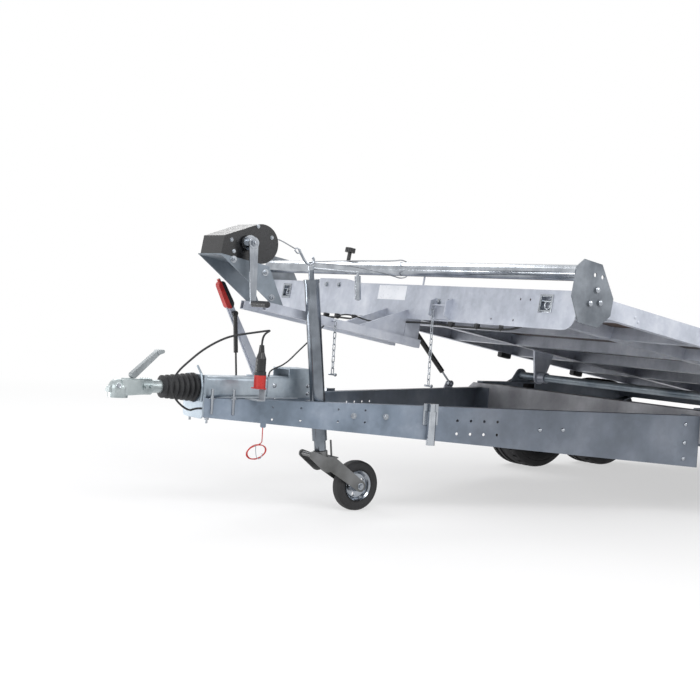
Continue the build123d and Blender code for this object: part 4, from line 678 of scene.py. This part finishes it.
def make_chains():
    """Short chain on the nose fork's eye and longer one on the panel's bracket."""
    links = hang_chain(on_bed(0, 121, 478), 9) + hang_chain(on_bed(-366, 265, 628), 14)
    chains = hand_over(joined(links), "lock_chain_links", "bed", "bright_tube", smooth=60)
    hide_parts("lock_chains")


make_chains()


# ---------------------------------------------------------------- bed: bolts, lashing frames, clips

def make_bed_bolts():
    """Bolts of the end plates, rivets along the side rails and screws through the floor."""
    end_bolts = [(x, end_plate_face, z) for x, z in ((-440, 678), (-490, 690), (-465, 733))]
    set_out(dome_head(11, 5), "end_plate_bolts", "bed", "bright_tube", mirrored_on_bed(end_bolts))
    rivets = []
    for x in range(-700, -4300, -member_pitch):
        rivets += [(x, rail_face, 678), (x - 20, rail_face, 664)]
    set_out(dome_head(7, 4), "side_rail_rivets", "bed", "galvanised_sheet", mirrored_on_bed(rivets))
    floor_screws = []
    first_row = panel_face - 250
    for row in range(8):
        for y in range(-960, 961, 240):
            floor_screws.append((on_bed(first_row - member_pitch * row, y, 710), above))
    screw = crown(cylinder(7, 0.8, 12), 0.8, [(0.2, 0.85), (-0.5, 0.4)])
    set_out(screw, "floor_screws", "bed", "bright_tube", floor_screws)


def square_frame(outer, inner, thick):
    """Pressed square frame, open in the middle, standing on Z."""
    bpy.ops.object.select_all(action="DESELECT")
    bpy.ops.mesh.primitive_plane_add(size=outer * MM)
    plate = bpy.context.object
    bpy.ops.object.mode_set(mode="EDIT")
    bpy.ops.mesh.inset(thickness=(outer - inner) / 2 * MM)
    bpy.ops.mesh.delete(type="FACE")
    bpy.ops.mesh.select_all(action="SELECT")
    bpy.ops.mesh.extrude_region_move(TRANSFORM_OT_translate={"value": (0, 0, thick * MM)})
    bpy.ops.object.mode_set(mode="OBJECT")
    bevel = plate.modifiers.new("edge", "BEVEL")
    bevel.width = 1.0 * MM
    bevel.segments = 2
    bpy.ops.object.modifier_apply(modifier=bevel.name)
    return plate


def make_lashing_points():
    """Frame round each lashing opening in the panel, with the pressed tray behind its ring."""
    places = [facing(on_bed(panel_face + 0.2, side * 886, 661), above, left, ahead) for side in (1, -1)]
    frames = [placed(square_frame(70, 52, 3.0), place) for place in places]
    trays = []
    for place in places:
        tray = crown(rounded_box((-24, -24, -20.5), (24, 24, -19.5), 0.3), -19.5, [(0.5, 0.5)])
        trays.append(placed(tray, place))
    hand_over(joined(frames), "lashing_frames", "bed", "bright_tube")
    hand_over(joined(trays), "lashing_trays", "bed", "galvanised_sheet")


def make_label():
    """Label film on the panel, left blank."""
    label = crown(rounded_box((-31, -97, 0), (31, 97, 0.5), 0.15), 0.5, [(0.1, 0.99)])
    label.matrix_world = facing(on_bed(panel_face + 0.2, -56, 676), above, left, ahead)
    hand_over(label, "blank_label", "bed", "galvanised_sheet", blank_film)


def loom_clip():
    """Nylon clip that grips the panel's lower edge, with a nose for the loom."""
    body = rounded_box((-13, -9, 0), (13, 9, 14), 2.0)
    alone(body)
    bpy.ops.object.mode_set(mode="EDIT")
    pick(body, lambda middle, normal: normal.z > 0.9)
    bpy.ops.mesh.inset(thickness=3 * MM)
    bpy.ops.mesh.extrude_region_move(TRANSFORM_OT_translate={"value": (0, 0, 8 * MM)})
    bpy.ops.transform.resize(value=(0.7, 0.5, 1))
    bpy.ops.object.mode_set(mode="OBJECT")
    return body


def make_loom():
    """Wiring loom under the panel, held by clips."""
    spots = [(on_bed(panel_face - 2, y, 566.3), -above) for y in (369, 524, 664, -300, -430, -520)]
    set_out(loom_clip(), "loom_clips", "bed", "black_plastic", spots)
    line = [
        (-396, -640, 556), (-394, -520, 548), (-397, -430, 552), (-393, -300, 547), (-398, -120, 556),
        (-392, 60, 551), (-398, 210, 557), (-394, 369, 549), (-397, 524, 551), (-394, 664, 549),
        (-400, 760, 562), (-412, 830, 600),
    ]
    wire("wiring_loom", [on_bed(*point) for point in line], 4.5, "bed", "black_rubber")


def make_bracket_bolts():
    """Screws of the winch's cover, its hub nut, and the bolts of the winch and panel brackets."""
    on_cover = [(520, 690), (500, 650), (420, 650), (345, 740), (415, 768)]
    screws = [(on_bed(x, 80, z), left) for x, z in on_cover]
    set_out(hex_head(5.5, 4, 8), "cover_screws", "bed", "bright_tube", screws)
    set_out(hex_head(13, 9, 22, 6), "winch_hub_nut", "bed", "bright_tube", [(on_bed(449, 130.5, 694), left)])
    winch_bolts = mirrored_on_bed([(300, 90, 510), (350, 90, 600), (500, 90, 618)])
    set_out(hex_head(9, 8, 14, 8), "winch_bracket_bolts", "bed", "bright_tube", winch_bolts)
    on_bracket = [(275, 645), (335, 645), (335, 595)]
    on_panel = [(-560, 700), (-460, 700)]
    panel_bolts = [(on_bed(panel_face + 5, y, z), ahead) for y, z in on_bracket]
    panel_bolts += [(on_bed(panel_face, y, z), ahead) for y, z in on_panel]
    set_out(hex_head(8, 7, 13), "panel_bracket_bolts", "bed", "bright_tube", panel_bolts)


def make_winch_rope():
    """Taut rope off the drum to its hook, which holds a sling round the stop tube."""
    rope = [on_bed(365, 0, 742), on_bed(319, 0, 745)]
    rope += [at(222, 0, 1083), at(189, 0, 1078), at(150, 2, 1062), at(120, 0, 1050)]
    wire("winch_rope", rope, 2.5, "bed", "bright_tube", wire_rope)
    thimble = [(120, 1050), (108, 1054), (96, 1046), (98, 1034), (110, 1032), (122, 1047)]
    wire("rope_thimble", [at(x, 0, z) for x, z in thimble], 3.0, "bed", "bright_tube")
    hook = [(99, 1050), (94, 1038), (84, 1026), (70, 1004), (50, 990), (28, 996), (22, 1014), (34, 1024)]
    wire("rope_hook", [at(x, 0, z) for x, z in hook], 5.5, "bed", "bright_tube")
    sling = [
        (48, 1000), (0, 1006), (-200, 1024), (-392, 1036), (-431, 1045), (-472, 1032),
        (-472, 976), (-431, 963), (-392, 972), (-200, 1000), (0, 1000), (44, 996),
    ]
    wire("rope_sling", [at(x, 0, z) for x, z in sling], 2.5, "bed", "bright_tube", wire_rope)


def make_tail_lenses():
    """Red, clear and amber lens let into each tail lamp."""
    lamp_back = panel_face - bed_length - 28
    colours = [("red", finishes["lamp_red"]), ("clear", lens_clear), ("amber", lens_amber)]
    for side_name, side in (("left", 1), ("right", -1)):
        for i, (colour, finish) in enumerate(colours):
            lens = rounded_box((-31, -31, 0), (31, 31, 4), 3.0, 3)
            lens.matrix_world = facing(on_bed(lamp_back, side * (809 + 68 * i), 653), above, -left, -ahead)
            hand_over(lens, f"tail_lens_{colour}_{side_name}", "bed", "lamp_red", finish)


make_bed_bolts()
make_lashing_points()
make_label()
make_loom()
make_bracket_bolts()
make_winch_rope()
make_tail_lenses()


# ---------------------------------------------------------------- drawbar: bolts and fittings

leg_way = math.radians(17.5)


def on_leg(x, z, side):
    """Spot on a leg's outer face at X and Z, in millimetres, with its way outwards."""
    y = 73 + (540 - x) * math.tan(leg_way)
    return at(x, side * y, z), Vector((math.sin(leg_way), side * math.cos(leg_way), 0))


def make_leg_bolts():
    """Round bolt heads and nuts on the legs' outer faces."""
    heads = [(-823, 366), (-925, 369), (-1490, 410), (-1490, 330), (-1490, 260)]
    spots = [on_leg(x, z, side) for side in (1, -1) for x, z in heads]
    set_out(dome_head(9, 6), "leg_bolts", "chassis", "bright_tube", spots)
    nuts = [on_leg(x, 400, side) for x in (-38, -168) for side in (1, -1)]
    set_out(hex_head(9, 7, 12, 4), "leg_nuts", "chassis", "bright_tube", nuts)


def make_nose_bolts():
    """Flat bolt heads on the housing's cheeks, and bolts and nuts through the nose."""
    cheek = [(220, 65, 500), (60, 65, 500), (60, 65, 468)]
    spots = [(at(x, side * y, z), left * side) for side in (1, -1) for x, y, z in cheek]
    set_out(dome_head(9, 3.2), "housing_bolts", "chassis", "bright_tube", spots)
    bolt = joined([hex_head(10, 9, 15, 26), cylinder(6, 60, 20, -60)])
    set_out(bolt, "nose_bolts", "chassis", "bright_tube", [(at(510, 84, 448), up), (at(430, 109, 448), up)])
    nuts = [(at(520, side * 66, 375.5), -up) for side in (1, -1)]
    set_out(hex_head(9, 9, 13, 12), "nose_nuts", "chassis", "bright_tube", nuts)


def make_drawbar_fittings():
    """Wear indicator of the coupling, nuts of the jockey wheel's axle and the handle of its clamp."""
    indicator = crown(cylinder(9, 3, 28), 3, [(1.5, 0.9), (-1.5, 0.75), (0.6, 0.3)])
    set_out(indicator, "wear_indicator", "chassis", "bright_tube", [(at(880, 37.5, 489), left)])
    axle = Vector(joints["jockey_wheel_spin"]["pos_m"])
    nuts = [(axle + left * side * 39.2 * MM, left * side) for side in (1, -1)]
    set_out(hex_head(10, 8, 15), "jockey_axle_nuts", "jockey_fork", "bright_tube", nuts)
    handle = joined([
        cylinder(5, 84, 16),
        crown(cylinder(8, 5, 16), 5, [(1, 0.8)]),
        crown(cylinder(8, 5, 16, 79), 84, [(1, 0.8)]),
    ])
    set_out(handle, "clamp_handle", "chassis", "bright_tube", [(at(52, 66, 358), up)])


make_leg_bolts()
make_nose_bolts()
make_drawbar_fittings()


# ---------------------------------------------------------------- road wheels

def tyre_outline(radius, half, seat):
    """Outline of a tyre as (width, reach): bead, ribbed wall, shoulder and grooved tread, and the inside."""
    wall = [
        (70.2, seat), (70.2, seat + 13), (90, seat + 19), (half, seat + 40), (half, seat + 52),
        (half - 1.5, seat + 54), (half - 1.5, seat + 60), (half - 0.5, seat + 62), (half - 2.5, seat + 74),
        (half - 8, radius - 9), (half - 16, radius - 4),
    ]
    # Grooves of the tread, each with the rib outside it, at these distances from the middle.
    tread = []
    for middle in (54, 18):
        tread += [
            (middle + 18, radius - 2 + (54 - middle) / 36), (middle + 4.5, radius - 1 + (54 - middle) / 60),
            (middle + 3.5, radius - 8.5), (middle - 3.5, radius - 8.5),
        ]
    one_side = wall + tread
    other_side = [(-w, r) for w, r in one_side[::-1]]
    inside = [(60, seat), (82, seat + 44), (66, radius - 17)]
    return one_side + other_side + [(-w, r) for w, r in inside] + inside[::-1]


def tread_tyre(radius=250.0, width=195.0, seat=152.3):
    """Road tyre about the Y axis, its outline spun round and its shoulders cut across."""
    outline = tyre_outline(radius, width / 2, seat)
    bpy.ops.object.select_all(action="DESELECT")
    bpy.ops.mesh.primitive_circle_add(vertices=len(outline), radius=0.1)
    tyre = bpy.context.object
    for vertex, (w, r) in zip(tyre.data.vertices, outline):
        vertex.co = (0, w * MM, r * MM)
    bpy.ops.object.mode_set(mode="EDIT")
    bpy.ops.mesh.select_all(action="SELECT")
    bpy.ops.mesh.spin(steps=90, angle=2 * math.pi, center=(0, 0, 0), axis=(0, 1, 0))
    bpy.ops.mesh.select_all(action="SELECT")
    bpy.ops.mesh.remove_doubles(threshold=0.05 * MM)
    bpy.ops.mesh.normals_make_consistent(inside=False)

    def shoulder_gap(middle, normal):
        """Every third stretch of the outer ribs, where the tread is cut across."""
        reach = math.hypot(middle.x, middle.z)
        turn = (math.degrees(math.atan2(middle.z, middle.x)) + 1) % 12
        return reach > (radius - 5) * MM and abs(middle.y) > 60 * MM and turn < 4

    pick(tyre, shoulder_gap)
    bpy.ops.mesh.extrude_region_shrink_fatten(TRANSFORM_OT_shrink_fatten={"value": -6 * MM})
    bpy.ops.object.mode_set(mode="OBJECT")
    return tyre


def make_road_wheels():
    """Treaded tyre and five wheel nuts for each of the four road wheels."""
    tyre_master = tread_tyre()
    nut_master = hex_head(9.5, 16, 12)
    nut_reach = 65
    nut_count = 5
    nut_seat = 12.2  # out of the wheel's middle plane
    for row in ("front", "rear"):
        for side_name, side in (("left", 1), ("right", -1)):
            body = f"wheel_{row}_{side_name}"
            middle = Vector(joints[f"{body}_spin"]["pos_m"])
            tyre = copy_of(tyre_master)
            tyre.matrix_world = Matrix.Translation(middle)
            hand_over(tyre, f"{row}_tread_tyre_{side_name}", body, "tyre_rubber", smooth=28)
            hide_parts(f"{row}_tyre_{side_name}")
            spots = []
            for i in range(nut_count):
                angle = math.radians(360 / nut_count * i)
                reach = Vector((nut_reach * math.cos(angle), side * nut_seat, nut_reach * math.sin(angle)))
                spots.append((middle + reach * MM, left * side))
            set_out(copy_of(nut_master), f"{row}_wheel_nuts_{side_name}", body, "bright_tube", spots)
    bpy.data.objects.remove(tyre_master)
    bpy.data.objects.remove(nut_master)


make_road_wheels()


# ---------------------------------------------------------------- studio

def seen_directly(tree):
    """One for what the eye, a mirror or a view through glass meets, and none for what only lights."""
    path = add(tree, "ShaderNodeLightPath")
    seen = add(tree, "ShaderNodeMath", {0: path.outputs["Is Camera Ray"], 1: path.outputs["Is Glossy Ray"]},
               operation="MAXIMUM")
    through = add(tree, "ShaderNodeMath", {0: seen.outputs[0], 1: path.outputs["Is Transmission Ray"]},
                  operation="MAXIMUM")
    return through.outputs[0]


def make_floor():
    """Wide pale floor: white far off, and close to the trailer it keeps the soft shadow."""
    bpy.ops.object.select_all(action="DESELECT")
    bpy.ops.mesh.primitive_plane_add(size=80, location=(0, 0, 0))
    floor = bpy.context.object
    floor.name = "studio_floor"
    material, tree, shader, place = start("pale_floor")
    shader.inputs["Base Color"].default_value = linear("#F2F2F3")
    shader.inputs["Roughness"].default_value = 0.9
    shader.inputs["Specular IOR Level"].default_value = 0.1
    reach = add(tree, "ShaderNodeVectorMath", {0: place}, operation="LENGTH")
    far = add(tree, "ShaderNodeMapRange",
              {"Value": reach.outputs["Value"], "From Min": 2.5, "From Max": 7.0,
               "To Min": 0.55, "To Max": 1.0},
              interpolation_type="SMOOTHSTEP")
    share = add(tree, "ShaderNodeMath", {0: seen_directly(tree), 1: far.outputs[0]}, operation="MULTIPLY")
    white = add(tree, "ShaderNodeEmission", {"Strength": 1.0})
    both = add(tree, "ShaderNodeMixShader", {0: share.outputs[0], 1: shader.outputs[0], 2: white.outputs[0]})
    tree.links.new(both.outputs[0], tree.nodes["Material Output"].inputs["Surface"])
    floor.data.materials.append(material)


def make_world():
    """White surround to the eye and in reflections, and a softer fill for lighting."""
    world = bpy.data.worlds.new("studio")
    bpy.context.scene.world = world
    world.use_nodes = True
    tree = world.node_tree
    strength = add(tree, "ShaderNodeMapRange", {"Value": seen_directly(tree), "To Min": 0.62, "To Max": 1.0})
    tree.links.new(strength.outputs[0], tree.nodes["Background"].inputs["Strength"])
    tree.nodes["Background"].inputs["Color"].default_value = (1, 1, 1, 1)


def add_lamp(name, place, aim, size, power):
    """Large soft lamp aimed at a point."""
    data = bpy.data.lights.new(name, "AREA")
    data.shape = "RECTANGLE"
    data.size, data.size_y = size
    data.energy = power
    lamp = bpy.data.objects.new(name, data)
    bpy.context.scene.collection.objects.link(lamp)
    lamp.location = place
    lamp.rotation_euler = (aim - place).to_track_quat("-Z", "Y").to_euler()


# Lamps: place and aim in metres from the tow ball, size, power in watts.
lamps = {
    "key": ((1.5, 4.5, 4.5), (-2.0, 0, 0), (3.5, 2.5), 170),
    "front": ((3.5, 0.5, 1.2), (-2.2, 0.6, 0.3), (3, 2), 48),
    "under": ((1.8, -2.0, -0.15), (-3.2, 0.2, 0.35), (2.0, 0.4), 18),
    "fill": ((-5.0, 5.5, 3.0), (-3.0, 0, 0), (4, 3), 120),
    "back": ((-1.5, -4.5, 4.0), (-2.0, 0, 0.3), (4, 2), 120),
}

make_floor()
make_world()
for name, (place, aim, size, power) in lamps.items():
    add_lamp(name, ball + Vector(place), ball + Vector(aim), size, power)

bpy.context.scene.view_settings.view_transform = "Standard"

bpy.context.view_layer.update()
